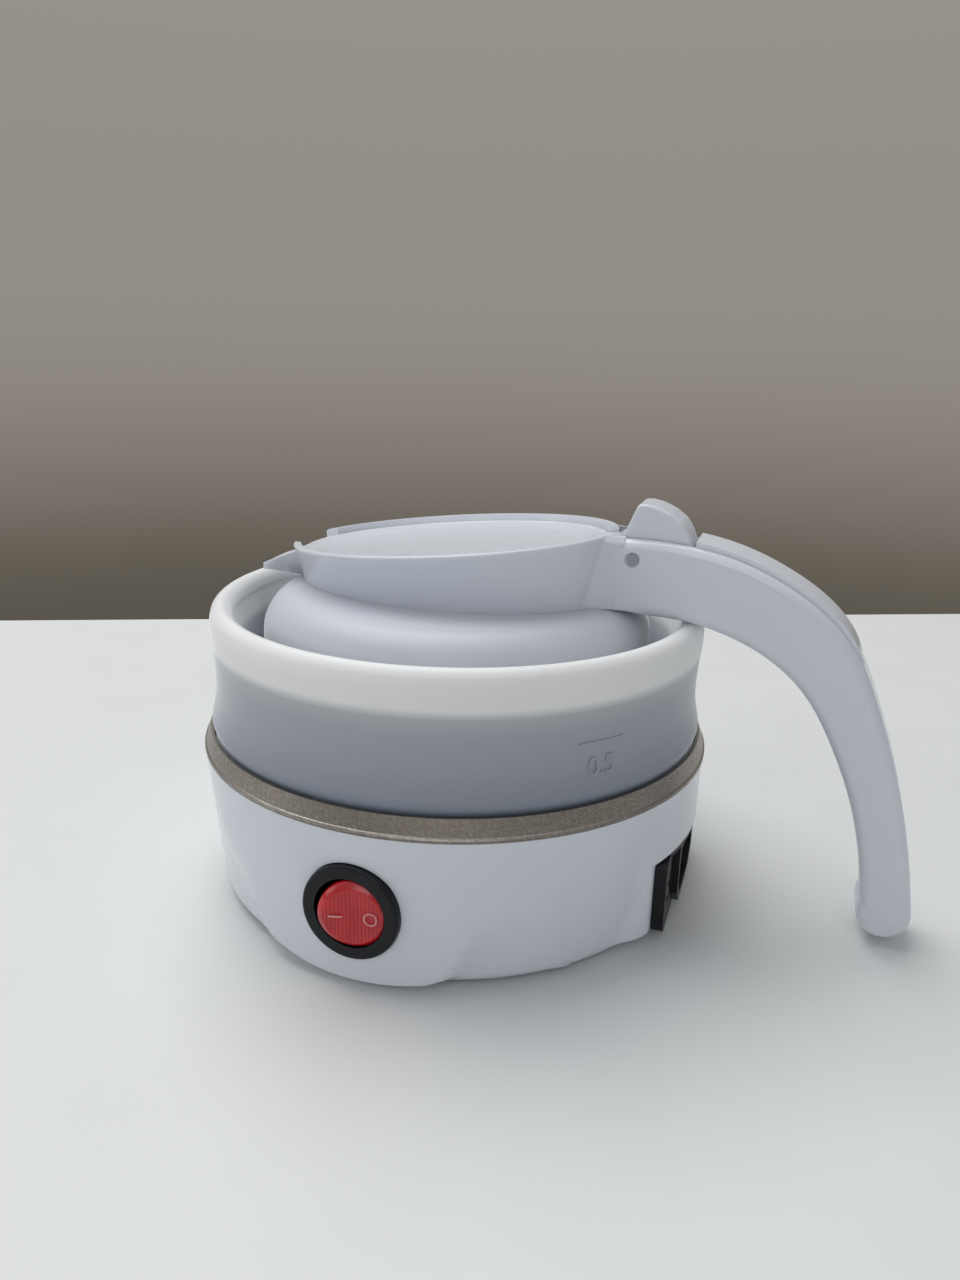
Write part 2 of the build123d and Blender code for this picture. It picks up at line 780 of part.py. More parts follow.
def make_collar_and_handle():
    """One moulding: flaring collar, prow of the spout and the handle with its two cheeks."""
    within = collar_body(collar_wall / 2, dome_top, 0)
    body = collar_blank() + beak(0, 0) + rounded_handle()
    body = body - collar_body(collar_wall, collar_floor_top, overrun)
    ledge = within & slanted_slab(ledge_depth(), ledge_thickness)
    ledge = ledge - collar_body(collar_wall + ledge_width, dome_top, 0)
    body = body + ledge + (neck_bosses() & within)
    mouth = extrude(oval(mouth_half_length, mouth_half_width), collar_floor + overrun * 2)
    body = body - Pos(0, 0, dome_top - overrun) * mouth - beak(beak_wall, overrun * 2) - hinge_slot()
    body = body - pin_cylinder(pin_radius + pin_press_gap, handle_half_width_top + overrun)
    for side in (-1, 1):
        end = side * (handle_half_width_top - pin_end_inset)
        recess = Pos(pin_x, end, pin_z) * Rot(X=-90 * side) * drum(pin_recess_radius, 0, overrun * 2)
        body = body - recess
    hole_top = collar_floor_top + neck_boss_height / 2
    for x, y in neck_screw_places():
        body = body - post(x, y, dome_top - overrun, hole_top, neck_screw_radius + thread_gap)
    return body - cover_strip(strip_gap)


def make_handle_cover():
    return cover_strip(0)


def make_hinge_pin():
    return pin_cylinder(pin_radius, handle_half_width_top - pin_end_inset)


def make_neck_ring():
    """The oval clamp under the silicone; its collar reaches up through the neck hole."""
    outer_length = collar_foot_half_length - neck_ring_end_margin
    outer_width = collar_foot_half_width - neck_ring_side_margin
    bottom = dome_underside - neck_ring_height
    ring = Pos(0, 0, bottom) * extrude(oval(outer_length, outer_width), neck_ring_height)
    spigot = oval(mouth_half_length + neck_wall, mouth_half_width + neck_wall)
    ring = ring + Pos(0, 0, bottom) * extrude(spigot, dome_top - bottom)
    mouth = oval(mouth_half_length, mouth_half_width)
    ring = ring - Pos(0, 0, bottom - overrun) * extrude(mouth, dome_top - bottom + overrun * 2)
    for x, y in neck_screw_places():
        ring = ring - post(x, y, 0, dome_top, neck_screw_radius + neck_gap)
    return ring


def make_neck_screws():
    screws = []
    seat = dome_underside - neck_ring_height
    for x, y in neck_screw_places():
        head = post(x, y, seat - screw_head_height, seat, neck_screw_radius * 2)
        screws.append(head + post(x, y, seat, seat + neck_screw_length, neck_screw_radius))
    return Compound(children=screws)


def lid_lug():
    """The strap over the hinge, its boss and the thumb tab, all between the cheeks."""
    points = [(pin_x + x * tab_radius, pin_z + z * tab_radius) for x, z in tab_shares]
    arc_points = []
    for angle in (tab_crest_angle, (tab_crest_angle + tab_back_angle) / 2, tab_back_angle):
        x, z = cos(radians(angle)), sin(radians(angle))
        arc_points.append((pin_x + tab_radius * x, pin_z + tab_radius * z))
    face_edges = Polyline(*points[:3]) + Spline(*points[2:], arc_points[0])
    back = ThreePointArc(*arc_points)
    strap_x = collar_centre + collar_half_length - collar_wall - lid_border * 2
    notch_x = collar_centre + collar_half_length - collar_wall
    low = lug_radius * sin(radians(45))
    under = Polyline(
        arc_points[2],
        (pin_x + low, pin_z - low),
        (pin_x - lug_radius, pin_z),
        (notch_x, rim_height(notch_x, lid_recess + lid_thickness)),
        (strap_x, rim_height(strap_x, lid_recess + lid_thickness)),
        (strap_x, rim_height(strap_x, lid_recess)),
        points[0],
    )
    half_width = slot_half_width - lug_gap
    lug = extrude(plane_xz(make_face(face_edges + back + under)), half_width, both=True)
    crest = []
    for edge in lug.edges():
        middle = edge.center()
        reach = (middle - Vector(pin_x, middle.Y, pin_z)).length
        if abs(middle.Y) > half_width - lug_gap and middle.Z > pin_z + lug_radius and reach > tab_radius / 2:
            crest.append(edge)
    return fillet(crest, tab_edge_round) + pin_cylinder(lug_radius, half_width)


def make_lid():
    plate = collar_body(collar_wall + lid_gap, dome_top, 0) & slanted_slab(lid_recess, lid_thickness)
    edge = collar_wall + lid_gap + lid_border + lid_recess / 2
    low_oval = rim_oval(edge + lid_dish_slope_width, lid_recess + lid_dish_depth)
    high_oval = rim_oval(edge, lid_recess)
    lid = plate - loft([high_oval, low_oval]) - extrude(high_oval, overrun) + lid_lug()
    return lid - pin_cylinder(pin_radius + pin_running_gap, slot_half_width + overrun)


def make_lid_seal():
    drop = lid_recess + lid_thickness
    outer = collar_body(collar_wall + lid_gap * 2, dome_top, 0)
    inner = collar_body(collar_wall + ledge_width + lid_gap, dome_top, 0)
    strap = block(collar_centre, handle_root, slot_half_width, 0, handle_rise * 2)
    return ((outer - inner) & slanted_slab(drop, seal_thickness)) - (lid_lug() & strap)


def facing_switch(shape):
    """Stands a piece on the switch's seat, its own +Z pointing out of the kettle."""
    return Pos(0, -switch_face, switch_height) * Rot(X=90) * shape


def drum(radius, low, high):
    return Pos(0, 0, low) * Cylinder(radius, high - low, align=upright)


def rocker_pivot():
    return bezel_thickness - rocker_pivot_depth


def make_switch_housing():
    flange = fillet(drum(bezel_radius, 0, bezel_thickness).edges().group_by(Axis.Z)[-1], bezel_lip)
    housing = flange + drum(barrel_radius, -barrel_depth, 0)
    housing = housing - drum(rocker_opening_radius, barrel_wall - barrel_depth, bezel_thickness + overrun)
    axle = Rot(X=90) * Cylinder(rocker_axle_radius + rocker_axle_gap, barrel_radius * 2 - barrel_wall / 2)
    housing = housing - Pos(0, 0, rocker_pivot()) * axle
    for place in switch_blade_places():
        housing = housing - place * switch_blade(blade_gap)
    return facing_switch(housing)


def switch_blade(gap):
    length = blade_tail + barrel_wall * 2
    blade = Box(dish_sheet + gap * 2, blade_width + gap * 2, length + gap)
    return Pos(0, 0, (length + gap) / 2 - barrel_depth - blade_tail) * blade


def switch_blade_places():
    return [Pos(side * barrel_radius / 2, 0, 0) for side in (-1, 1)]


def make_switch_terminals():
    return Compound(children=[facing_switch(place * switch_blade(0)) for place in switch_blade_places()])


def make_neon_lamp():
    """The lamp that lights the rocker, lying on the floor of the switch between its terminals."""
    lamp = Rot(X=90) * Cylinder(rocker_axle_radius, barrel_radius / 2)
    floor = barrel_wall - barrel_depth
    return facing_switch(Pos(0, 0, floor + rocker_axle_radius) * lamp)


def make_rocker():
    """Two faces in a shallow V with fine ribs, trimmed so that it turns inside a round opening."""
    rise = rocker_pivot_depth + rocker_proud
    tall = rise * 3
    body = None
    for side in (-1, 1):
        column = Rot(Y=side * rocker_tilt) * Cylinder(rocker_radius, tall)
        body = column if body is None else body & column
    core = body
    body = body & drum(rocker_radius * 2, -rocker_depth, tall)
    for side in (-1, 1):
        above = drum(rocker_radius * 2, 0, tall)
        half = Box(rocker_radius * 2, rocker_radius * 4, tall * 2, align=outward)
        half = half if side > 0 else Rot(Z=180) * half
        body = body - ((Rot(Y=-side * rocker_tilt) * Pos(0, 0, rise) * above) & half)
        for index in range(rocker_rib_count):
            x = side * rocker_radius * (rocker_rib_start_share + rocker_rib_pitch_share * index)
            rib = Pos(x, 0, rise) * Box(rocker_rib_width, rocker_radius * 2, rocker_rib_height * 2)
            body = body + ((Rot(Y=-side * rocker_tilt) * rib) & core)
    axle = Rot(X=90) * Cylinder(rocker_axle_radius, barrel_radius * 2 - barrel_wall)
    body = body + axle
    return facing_switch(Pos(0, 0, rocker_pivot()) * Rot(Y=rocker_tilt) * body)


def beside_inlet(x, y, z, length, width, height):
    """A block from x outwards, centred on y and z, measured from the inlet's centre."""
    return Pos(x, y, inlet_centre + z) * Box(length, width, height, align=outward)


def make_inlet_housing():
    length, height = inlet_flange_length, inlet_flange_height
    flange = beside_inlet(inlet_seat, 0, 0, inlet_flange_thickness, length, height)
    flange = fillet(flange.edges().filter_by(Axis.X), inlet_flange_thickness)
    width, height = inlet_nose_half_width * 2, inlet_nose_half_height * 2
    nose = beside_inlet(inlet_seat, 0, 0, inlet_nose_reach, width, height)
    nose = chamfer(nose.edges().filter_by(Axis.X).group_by(Axis.Z)[0], inlet_nose_chamfer)
    back = inlet_seat - inlet_body_depth
    case = beside_inlet(back, 0, 0, inlet_body_depth, inlet_body_half_width * 2, inlet_body_half_height * 2)
    visor_top = inlet_ceiling - inlet_body_gap
    visor_low = visor_top - inlet_visor_thickness
    visor = block(inlet_seat, base_foot_radius + overrun, inlet_visor_half_width, visor_low, visor_top)
    visor = visor & post(0, 0, 0, base_top, inlet_pad_radius - inlet_body_gap)
    depth = inlet_body_depth + inlet_nose_reach - inlet_back_wall
    width, height = inlet_socket_half_width * 2, inlet_socket_half_height * 2
    socket = beside_inlet(back + inlet_back_wall, 0, 0, depth + overrun, width, height)
    socket = chamfer(socket.edges().filter_by(Axis.X).group_by(Axis.Z)[0], inlet_nose_chamfer)
    housing = flange + nose + case + visor - socket
    for y, z in blade_places():
        housing = housing - inlet_blade(y, z, blade_gap)
    for side in (-1, 1):
        place = Pos(inlet_seat, side * inlet_screw_spacing / 2, inlet_centre) * Rot(Y=90)
        front = inlet_flange_thickness + overrun
        housing = housing - place * drum(inlet_screw_radius + thread_gap, -overrun, front)
        housing = housing - place * drum(screw_head_radius + thread_gap, inlet_flange_thickness / 2, front)
    return housing


def blade_places():
    return ((-blade_spacing, -blade_offset), (blade_spacing, -blade_offset), (0, blade_offset))


def inlet_blade(y, z, gap):
    start = inlet_seat - inlet_body_depth - blade_tail
    length = blade_tail + inlet_back_wall + blade_length
    return beside_inlet(start, y, z, length, blade_thickness + gap * 2, blade_width + gap * 2)


def make_inlet_pins():
    return Compound(children=[inlet_blade(y, z, 0) for y, z in blade_places()])


def make_inlet_screws():
    screws = []
    for side in (-1, 1):
        place = Pos(inlet_seat, side * inlet_screw_spacing / 2, inlet_centre) * Rot(Y=90)
        seat = inlet_flange_thickness / 2
        head = drum(screw_head_radius, seat, seat + screw_head_height)
        slot = Box(inlet_screw_slot, screw_head_radius * 2, screw_head_height)
        slot = Pos(0, 0, seat + screw_head_height) * slot
        shank = drum(inlet_screw_radius, -inlet_seat_wall - overrun, inlet_flange_thickness)
        screws.append(place * (head - slot + shank))
    return Compound(children=screws)


def wire(start, leaving, shares, end, arriving):
    """A round wire that leaves and arrives straight, each corner as large as its runs allow."""
    points = [Vector(*start), Vector(*start) + Vector(*leaving) * wire_lead]
    for x, y, z in shares:
        points.append(Vector(x * plate_radius, y * plate_radius, z * dish_floor))
    points.append(Vector(*end) - Vector(*arriving) * wire_lead)
    points.append(Vector(*end))
    bends = []
    for before, corner, after in zip(points, points[1:], points[2:]):
        run_in = corner - before
        run_out = after - corner
        half_turn = radians(run_in.get_angle(run_out) / 2)
        bends.append(wire_bend_share * min(run_in.length, run_out.length) / tan(half_turn))
    path = FilletPolyline(*points, radius=bends)
    facing = Plane(origin=path @ 0, z_dir=path % 0)
    print("wire bends", [round(bend, 1) for bend in bends])
    return sweep(facing * Circle(wire_radius), path)


def blade_tail_end(index):
    y, z = blade_places()[index]
    return inlet_seat - inlet_body_depth - blade_tail, y, inlet_centre + z


def switch_tail_end(side):
    return side * barrel_radius / 2, -switch_face + barrel_depth + blade_tail, switch_height


def thermostat_tag_end(side):
    return 0, side * thermostat_radius / 2, plate_bottom - thermostat_height - thermostat_tag * 2


def element_pin_end(index):
    x, y = element_ends()[index]
    return x, y, element_height - element_leg - element_pin_length


def fuse_end(side):
    return fuse_place, side * fuse_length / 2, plate_bottom - fuse_radius


def earth_end():
    x, y = earth_end_shares
    return x * plate_radius, y * plate_radius, plate_bottom


def make_wires():
    back, front, up, down = (-1, 0, 0), (0, -1, 0), (0, 0, 1), (0, 0, -1)
    inward = (0, 1, 0)
    return {
        "wire_live": wire(blade_tail_end(0), back, live_shares, switch_tail_end(1), front),
        "wire_load": wire(switch_tail_end(-1), inward, load_shares, thermostat_tag_end(-1), up),
        "wire_heater": wire(thermostat_tag_end(1), down, heater_shares, element_pin_end(1), up),
        "wire_neutral": wire(blade_tail_end(1), back, neutral_shares, fuse_end(1), front),
        "wire_return": wire(fuse_end(-1), front, return_shares, element_pin_end(0), up),
        "wire_earth": wire(blade_tail_end(2), back, earth_shares, earth_end(), up),
    }


parts = {
    "base_shell": make_base_shell(),
    "bottom_cover": make_bottom_cover(),
    "foot_ring": make_foot_ring(),
    "cover_screws": make_cover_screws(),
    "steel_band": make_steel_band(),
    "heating_dish": make_heating_dish(),
    "diffuser_plate": make_diffuser_plate(),
    "heating_element": make_heating_element(),
    "thermostat": make_thermostat(),
    "thermal_fuse": make_thermal_fuse(),
    "silicone_lower_wall": make_silicone_lower_wall(),
    "silicone_fold": make_silicone_fold(),
    "silicone_upper_wall": make_silicone_upper_wall(),
    "neck_ring": make_neck_ring(),
    "neck_screws": make_neck_screws(),
    "collar_and_handle": make_collar_and_handle(),
    "handle_cover": make_handle_cover(),
    "hinge_pin": make_hinge_pin(),
    "lid": make_lid(),
    "lid_seal": make_lid_seal(),
    "switch_housing": make_switch_housing(),
    "switch_terminals": make_switch_terminals(),
    "neon_lamp": make_neon_lamp(),
    "rocker": make_rocker(),
    "inlet_housing": make_inlet_housing(),
    "inlet_pins": make_inlet_pins(),
    "inlet_screws": make_inlet_screws(),
}
parts.update(make_wires())

os.makedirs("parts", exist_ok=True)
for name, shape in parts.items():
    shape.label = name
    export_step(shape, f"parts/{name}.step")
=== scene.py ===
import bpy
from math import cos, hypot, pi, radians, sin
from mathutils import Matrix, Vector


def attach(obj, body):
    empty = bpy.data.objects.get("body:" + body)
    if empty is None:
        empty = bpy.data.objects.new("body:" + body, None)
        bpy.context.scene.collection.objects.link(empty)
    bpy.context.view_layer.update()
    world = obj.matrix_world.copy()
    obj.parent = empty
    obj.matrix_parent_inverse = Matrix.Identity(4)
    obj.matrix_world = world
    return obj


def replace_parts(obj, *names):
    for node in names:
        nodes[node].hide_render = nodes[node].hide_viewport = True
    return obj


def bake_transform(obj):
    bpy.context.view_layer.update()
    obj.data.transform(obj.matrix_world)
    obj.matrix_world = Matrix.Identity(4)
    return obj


bpy.ops.wm.read_factory_settings(use_empty=True)
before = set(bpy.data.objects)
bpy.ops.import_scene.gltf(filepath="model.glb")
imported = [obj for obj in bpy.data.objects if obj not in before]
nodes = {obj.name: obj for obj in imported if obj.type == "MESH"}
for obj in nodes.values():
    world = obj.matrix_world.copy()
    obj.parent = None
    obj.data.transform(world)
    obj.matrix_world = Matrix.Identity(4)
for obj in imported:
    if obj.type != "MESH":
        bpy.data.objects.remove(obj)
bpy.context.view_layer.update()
MM = 0.001
bpy.ops.object.select_all(action="DESELECT")


# Camera: its place, sight and focal length were fitted to the outlines of the base, the band and the rim.
# It stands close, looks down a little and is rolled by about a degree.
photo_height = 1280
focal_px = 961.0
sensor = 36.0
camera_place = Vector((84.47, -232.07, 140.45)) * MM
camera_sight = Vector((-0.3048, 0.9045, -0.2982)).normalized()
camera_roll = 0.0234

level_right = camera_sight.cross(Vector((0, 0, 1))).normalized()
level_up = level_right.cross(camera_sight)
camera_right = level_right * cos(camera_roll) + level_up * sin(camera_roll)
camera_up = camera_right.cross(camera_sight)
camera_data = bpy.data.cameras.new("camera")
camera_data.sensor_width = sensor
camera_data.lens = focal_px * sensor / photo_height
camera_data.clip_start = 0.01
camera = bpy.data.objects.new("camera", camera_data)
camera_turn = Matrix((camera_right, camera_up, -camera_sight)).transposed().to_4x4()
camera.matrix_world = Matrix.Translation(camera_place) @ camera_turn
bpy.context.scene.collection.objects.link(camera)
bpy.context.scene.camera = camera


# Room: a pale painted table top that ends behind the kettle, a plain grey-brown wall and three soft lamps.
# The wall is the world's colour for sight and reflections. The light comes from the dome and the lamps alone.
def linear(hex_colour):
    """An sRGB hex colour as linear RGBA."""
    values = []
    for index in (0, 2, 4):
        value = int(hex_colour[index:index + 2], 16) / 255
        values.append(value / 12.92 if value <= 0.04045 else ((value + 0.055) / 1.055) ** 2.4)
    return (*values, 1.0)


def add_node(tree, kind, sources=None, feeds=None, stops=(), **settings):
    """Adds a shader node.

    sources maps an input to the node or output that feeds it, or to its value; feeds is the input
    that takes the new node's first output; stops are a colour ramp's places and hex colours.
    """
    made = tree.nodes.new(kind)
    for key, value in settings.items():
        setattr(made, key, value)
    for key, value in (sources or {}).items():
        if isinstance(value, bpy.types.Node):
            value = value.outputs[0]
        if isinstance(value, bpy.types.NodeSocket):
            tree.links.new(value, made.inputs[key])
        else:
            made.inputs[key].default_value = value
    for index, (place, colour) in enumerate(stops):
        elements = made.color_ramp.elements
        if index >= len(elements):
            elements.new(place)
        elements[index].position = place
        elements[index].color = linear(colour)
    if feeds:
        tree.links.new(made.outputs[0], feeds)
    return made


def new_material(name, colour, roughness, **sockets):
    """A material on the Principled shader; returns the material, its tree and its shader."""
    material = bpy.data.materials.new(name)
    material.use_nodes = True
    shader = material.node_tree.nodes["Principled BSDF"]
    shader.inputs["Base Color"].default_value = linear(colour)
    shader.inputs["Roughness"].default_value = roughness
    for key, value in sockets.items():
        shader.inputs[key.replace("_", " ")].default_value = value
    return material, material.node_tree, shader


world = bpy.data.worlds.new("studio")
world.use_nodes = True
room = world.node_tree
light_dome = room.nodes["Background"]
light_dome.inputs["Color"].default_value = linear("e6eaf2")
light_dome.inputs["Strength"].default_value = 0.34
sight_line = add_node(room, "ShaderNodeTexCoord").outputs["Generated"]
sight_up = add_node(room, "ShaderNodeSeparateXYZ", {0: sight_line}).outputs["Z"]
lowest, highest = -0.3, 0.9
wall_share = add_node(room, "ShaderNodeMapRange", {
    "Value": sight_up, "From Min": lowest, "From Max": highest,
})
wall_paint = add_node(room, "ShaderNodeValToRGB", {"Fac": wall_share}, stops=(
    (0.02, "58534b"), (0.07, "5f5a50"), (0.12, "756d65"), (0.20, "8d8780"),
    (0.28, "938e88"), (0.48, "949088"), (0.72, "a8a49e"), (1.0, "e6eaf2"),
))
wall_paint.color_ramp.interpolation = "B_SPLINE"
wall = add_node(room, "ShaderNodeBackground", {"Color": wall_paint})
sight = add_node(room, "ShaderNodeLightPath")
mirrored = add_node(room, "ShaderNodeMath", {
    0: sight.outputs["Is Glossy Ray"], 1: sight.outputs["Is Transmission Ray"],
}, operation="MAXIMUM")
seen = add_node(room, "ShaderNodeMath", {0: sight.outputs["Is Camera Ray"], 1: mirrored}, operation="MAXIMUM")
add_node(room, "ShaderNodeMixShader", {0: seen, 1: light_dome, 2: wall},
         feeds=room.nodes["World Output"].inputs["Surface"])
bpy.context.scene.world = world

# satin paint, brushed on: one even pale tone with a broad, faint mottle and a soft sheen
table_paint, table_tree, table_shader = new_material("satin_table_paint", "e4e5e3", 0.5)
table_place = add_node(table_tree, "ShaderNodeTexCoord").outputs["Object"]
brush_width = 40 * MM
brush_marks = add_node(table_tree, "ShaderNodeTexNoise", {
    "Vector": table_place, "Scale": 1 / brush_width, "Detail": 3.0,
})
add_node(table_tree, "ShaderNodeValToRGB", {"Fac": brush_marks}, feeds=table_shader.inputs["Base Color"],
         stops=((0.3, "e3e4e2"), (0.7, "e6e7e5")))
table_size = 6.0
table_turn = radians(24.9)
table_far_edge = 0.241
table_thickness = 0.03


def turn_outwards():
    """Turns the active piece's faces to point outwards."""
    bpy.ops.object.mode_set(mode="EDIT")
    bpy.ops.mesh.select_all(action="SELECT")
    bpy.ops.mesh.normals_make_consistent(inside=False)
    bpy.ops.object.mode_set(mode="OBJECT")


table_back = Vector((-sin(table_turn), cos(table_turn), 0))
bpy.ops.mesh.primitive_plane_add(size=table_size, location=table_back * (table_far_edge - table_size / 2),
                                 rotation=(0, 0, table_turn))
table_top = bpy.context.object
table_top.name = "table_top"
bpy.ops.object.mode_set(mode="EDIT")
bpy.ops.mesh.extrude_region_move(TRANSFORM_OT_translate={"value": (0, 0, -table_thickness)})
bpy.ops.object.mode_set(mode="OBJECT")
turn_outwards()
bpy.ops.object.transform_apply(location=True, rotation=True, scale=True)
table_top.data.materials.append(table_paint)

lamp_aim = Vector((0, 0, 0.05))
for name, place, size, power in (
    ("overhead_lamp", (-0.7, 0.45, 2.0), 1.6, 31.0),
    ("left_lamp", (-2.4, -1.3, 1.1), 1.2, 7.0),
    ("front_lamp", (0.6, -2.2, 1.8), 1.4, 9.0),
):
    lamp_data = bpy.data.lights.new(name, "AREA")
    lamp_data.size = size
    lamp_data.energy = power
    lamp = bpy.data.objects.new(name, lamp_data)
    lamp.location = place
    lamp.rotation_euler = (lamp_aim - Vector(place)).to_track_quat("-Z", "Y").to_euler()
    bpy.context.scene.collection.objects.link(lamp)
bpy.context.scene.view_settings.view_transform = "Standard"


# White mouldings: bottom cover, collar with handle, handle strip, neck ring, and later the base and the lid.
# Injection-moulded glossy polypropylene: a wet-looking skin over a slightly translucent white.
# Sink marks make the gloss ripple, and wiping leaves it uneven.
white_plastic, white_tree, white_shader = new_material(
    "glossy_white_polypropylene", "dde1e8", 0.17, IOR=1.49, Subsurface_Weight=0.15, Subsurface_Scale=0.002,
)
white_shader.inputs["Subsurface Radius"].default_value = (1.0, 1.0, 1.1)
white_place = add_node(white_tree, "ShaderNodeTexCoord").outputs["Object"]
sink_size = 14 * MM
waves = add_node(white_tree, "ShaderNodeTexNoise", {
    "Vector": white_place, "Scale": 1 / sink_size, "Detail": 0.0,
})
add_node(white_tree, "ShaderNodeBump", {"Height": waves, "Strength": 0.12, "Distance": 0.12 * MM},
         feeds=white_shader.inputs["Normal"])
rub_size = 3 * MM
rubbed = add_node(white_tree, "ShaderNodeTexNoise", {
    "Vector": white_place, "Scale": 1 / rub_size, "Detail": 5.0,
})
add_node(white_tree, "ShaderNodeMapRange", {
    "Value": rubbed, "From Min": 0.35, "From Max": 0.75, "To Min": 0.13, "To Max": 0.23,
}, feeds=white_shader.inputs["Roughness"])


def finish(material, *names):
    """Gives the named frame nodes this material."""
    for name in names:
        nodes[name].data.materials.clear()
        nodes[name].data.materials.append(material)


finish(white_plastic, "bottom_cover", "collar_and_handle", "handle_cover", "neck_ring")


# Base shell: a tapering moulded tub with an upright tongue round the switch and an upright pad for the inlet.
# Both stand proud low down and melt into the wall above. The tongue's right edge is a soft S, its left a
# ridge. It is moulded in one, with the switch's bore, the inlet's recess and three screw bosses.
foot_level, joint_level = 1.0, 39.0
foot_radius, joint_radius = 63.3, 66.9
shell_wall, shell_corner = 2.4, 4.3
cover_opening = 57.0
wall_lean = (joint_radius - foot_radius) / (joint_level - foot_level)


def take(piece):
    """Makes this piece the active one and the only one selected."""
    bpy.ops.object.select_all(action="DESELECT")
    bpy.context.view_layer.objects.active = piece
    piece.select_set(True)


def select_points(piece, indices):
    """Selects only these points of the active piece, and stays in edit mode."""
    bpy.ops.object.mode_set(mode="EDIT")
    bpy.ops.mesh.select_mode(type="VERT")
    bpy.ops.mesh.select_all(action="DESELECT")
    bpy.ops.object.mode_set(mode="OBJECT")
    for index in indices:
        piece.data.vertices[index].select = True
    bpy.ops.object.mode_set(mode="EDIT")


def turned_solid(name, section, rows=6, start=0, sectors=((360, 192),), closed=True):
    """Turns a section about Z, in sectors of degrees and steps.

    Each point of the section is a radius, a height and whether it is a corner.
    """
    curve = bpy.data.curves.new(name, "CURVE")
    curve.dimensions = "3D"
    curve.resolution_u = rows
    spline = curve.splines.new("BEZIER")
    spline.bezier_points.add(len(section) - 1)
    spline.use_cyclic_u = closed
    for point, (radius, up, corner) in zip(spline.bezier_points, section):
        point.co = Matrix.Rotation(radians(start), 3, "Z") @ Vector((radius * MM, 0, up * MM))
        point.handle_left_type = point.handle_right_type = "VECTOR" if corner else "AUTO"
    piece = bpy.data.objects.new(name, curve)
    bpy.context.scene.collection.objects.link(piece)
    take(piece)
    bpy.ops.object.convert(target="MESH")
    bpy.ops.object.mode_set(mode="EDIT")
    bpy.ops.mesh.select_all(action="SELECT")
    for angle, steps in sectors:
        bpy.ops.mesh.spin(steps=steps, angle=radians(angle), center=(0, 0, 0), axis=(0, 0, 1))
    bpy.ops.mesh.select_all(action="SELECT")
    bpy.ops.mesh.remove_doubles(threshold=0.002 * MM)
    bpy.ops.object.mode_set(mode="OBJECT")
    turn_outwards()
    bpy.ops.object.shade_smooth_by_angle(angle=radians(40))
    return piece


def cut(piece, cutter, operation="DIFFERENCE"):
    """Cuts the piece with another mesh, or joins it on, and removes the cutter."""
    modifier = piece.modifiers.new("cut", "BOOLEAN")
    modifier.operation = operation
    modifier.solver = "EXACT"
    modifier.object = cutter
    take(piece)
    bpy.ops.object.modifier_apply(modifier="cut")
    bpy.data.objects.remove(cutter)


def block(low, high):
    """A box between two corners, in mm, to cut with."""
    middle = (Vector(low) + Vector(high)) / 2 * MM
    bpy.ops.mesh.primitive_cube_add(size=1, location=middle, scale=(Vector(high) - Vector(low)) * MM)
    return bpy.context.object


def drum(place, axis, radius, length):
    """A cylinder round a middle, in mm, along an axis, to cut with."""
    turn = Vector(axis).to_track_quat("Z", "Y").to_euler()
    bpy.ops.mesh.primitive_cylinder_add(vertices=96, radius=radius * MM, depth=length * MM,
                                        location=Vector(place) * MM, rotation=turn)
    return bpy.context.object


def wall_radius(level):
    """The tapering wall's outer radius at this height."""
    return foot_radius + wall_lean * (level - foot_level)


def eased(value, low, high):
    """0 up to low, 1 from high and a smooth rise between."""
    share = min(max((value - low) / (high - low), 0), 1)
    return share * share * (3 - 2 * share)


corner_level = foot_level + shell_corner
corner_centre = wall_radius(corner_level) - shell_corner
corner_rows = 18
wall_rows, low_share = 64, 0.7
corner_line = [
    (corner_centre + shell_corner * cos(angle), corner_level + shell_corner * sin(angle), True)
    for angle in [-pi / 2 + (pi / 2 - 0.1) * row / corner_rows for row in range(corner_rows + 1)]
]
wall_levels = [
    corner_level + (joint_level - corner_level) * (low_share * share + (1 - low_share) * share ** 3)
    for share in [row / wall_rows for row in range(wall_rows + 1)]
]
wall_line = [(wall_radius(level), level, True) for level in wall_levels]
floor_level = foot_level + shell_wall
inside_line = [
    (joint_radius - shell_wall, joint_level, True), (wall_radius(15.0) - shell_wall, 15.0, True),
    (wall_radius(5.6) - shell_wall, 5.6, True), (wall_radius(4.0) - shell_wall - 0.5, 4.0, True),
    (wall_radius(3.4) - shell_wall - 1.5, floor_level, True), (cover_opening, floor_level, True),
    (cover_opening, foot_level, True),
]
base_tub = turned_solid("base_tub", corner_line + wall_line + inside_line, rows=1, start=-135,
                        sectors=((90, 300), (90, 180), (180, 120)))

# across and up: the edge of the tongue, from its left shoulder over its foot to the S on the right
tongue_edge = (
    (-48.0, 30.0), (-36.0, 24.5), (-30.5, 19.0), (-27.6, 12.0), (-24.6, 7.0), (-19.0, 4.2),
    (-7.2, 2.4), (2.2, 2.05), (12.2, 2.7), (19.6, 4.4), (23.2, 8.7), (25.0, 13.0),
    (27.2, 17.7), (31.7, 21.7), (36.0, 23.6), (48.0, 30.0),
)
tongue_radius, tongue_reach, tongue_fade = 66.3, 44, (21, 34)
# the tongue's edge is a narrow step at its foot and widens to nothing at its shoulders
edge_width, edge_growth, shoulder_growth = 1.8, 1.6, 8
pad_radius, pad_half_width, pad_reach, pad_fade = 66.5, 29.0, 45, (2.2, 4.6)
pad_flare, pad_low_flare = 1.2, 6


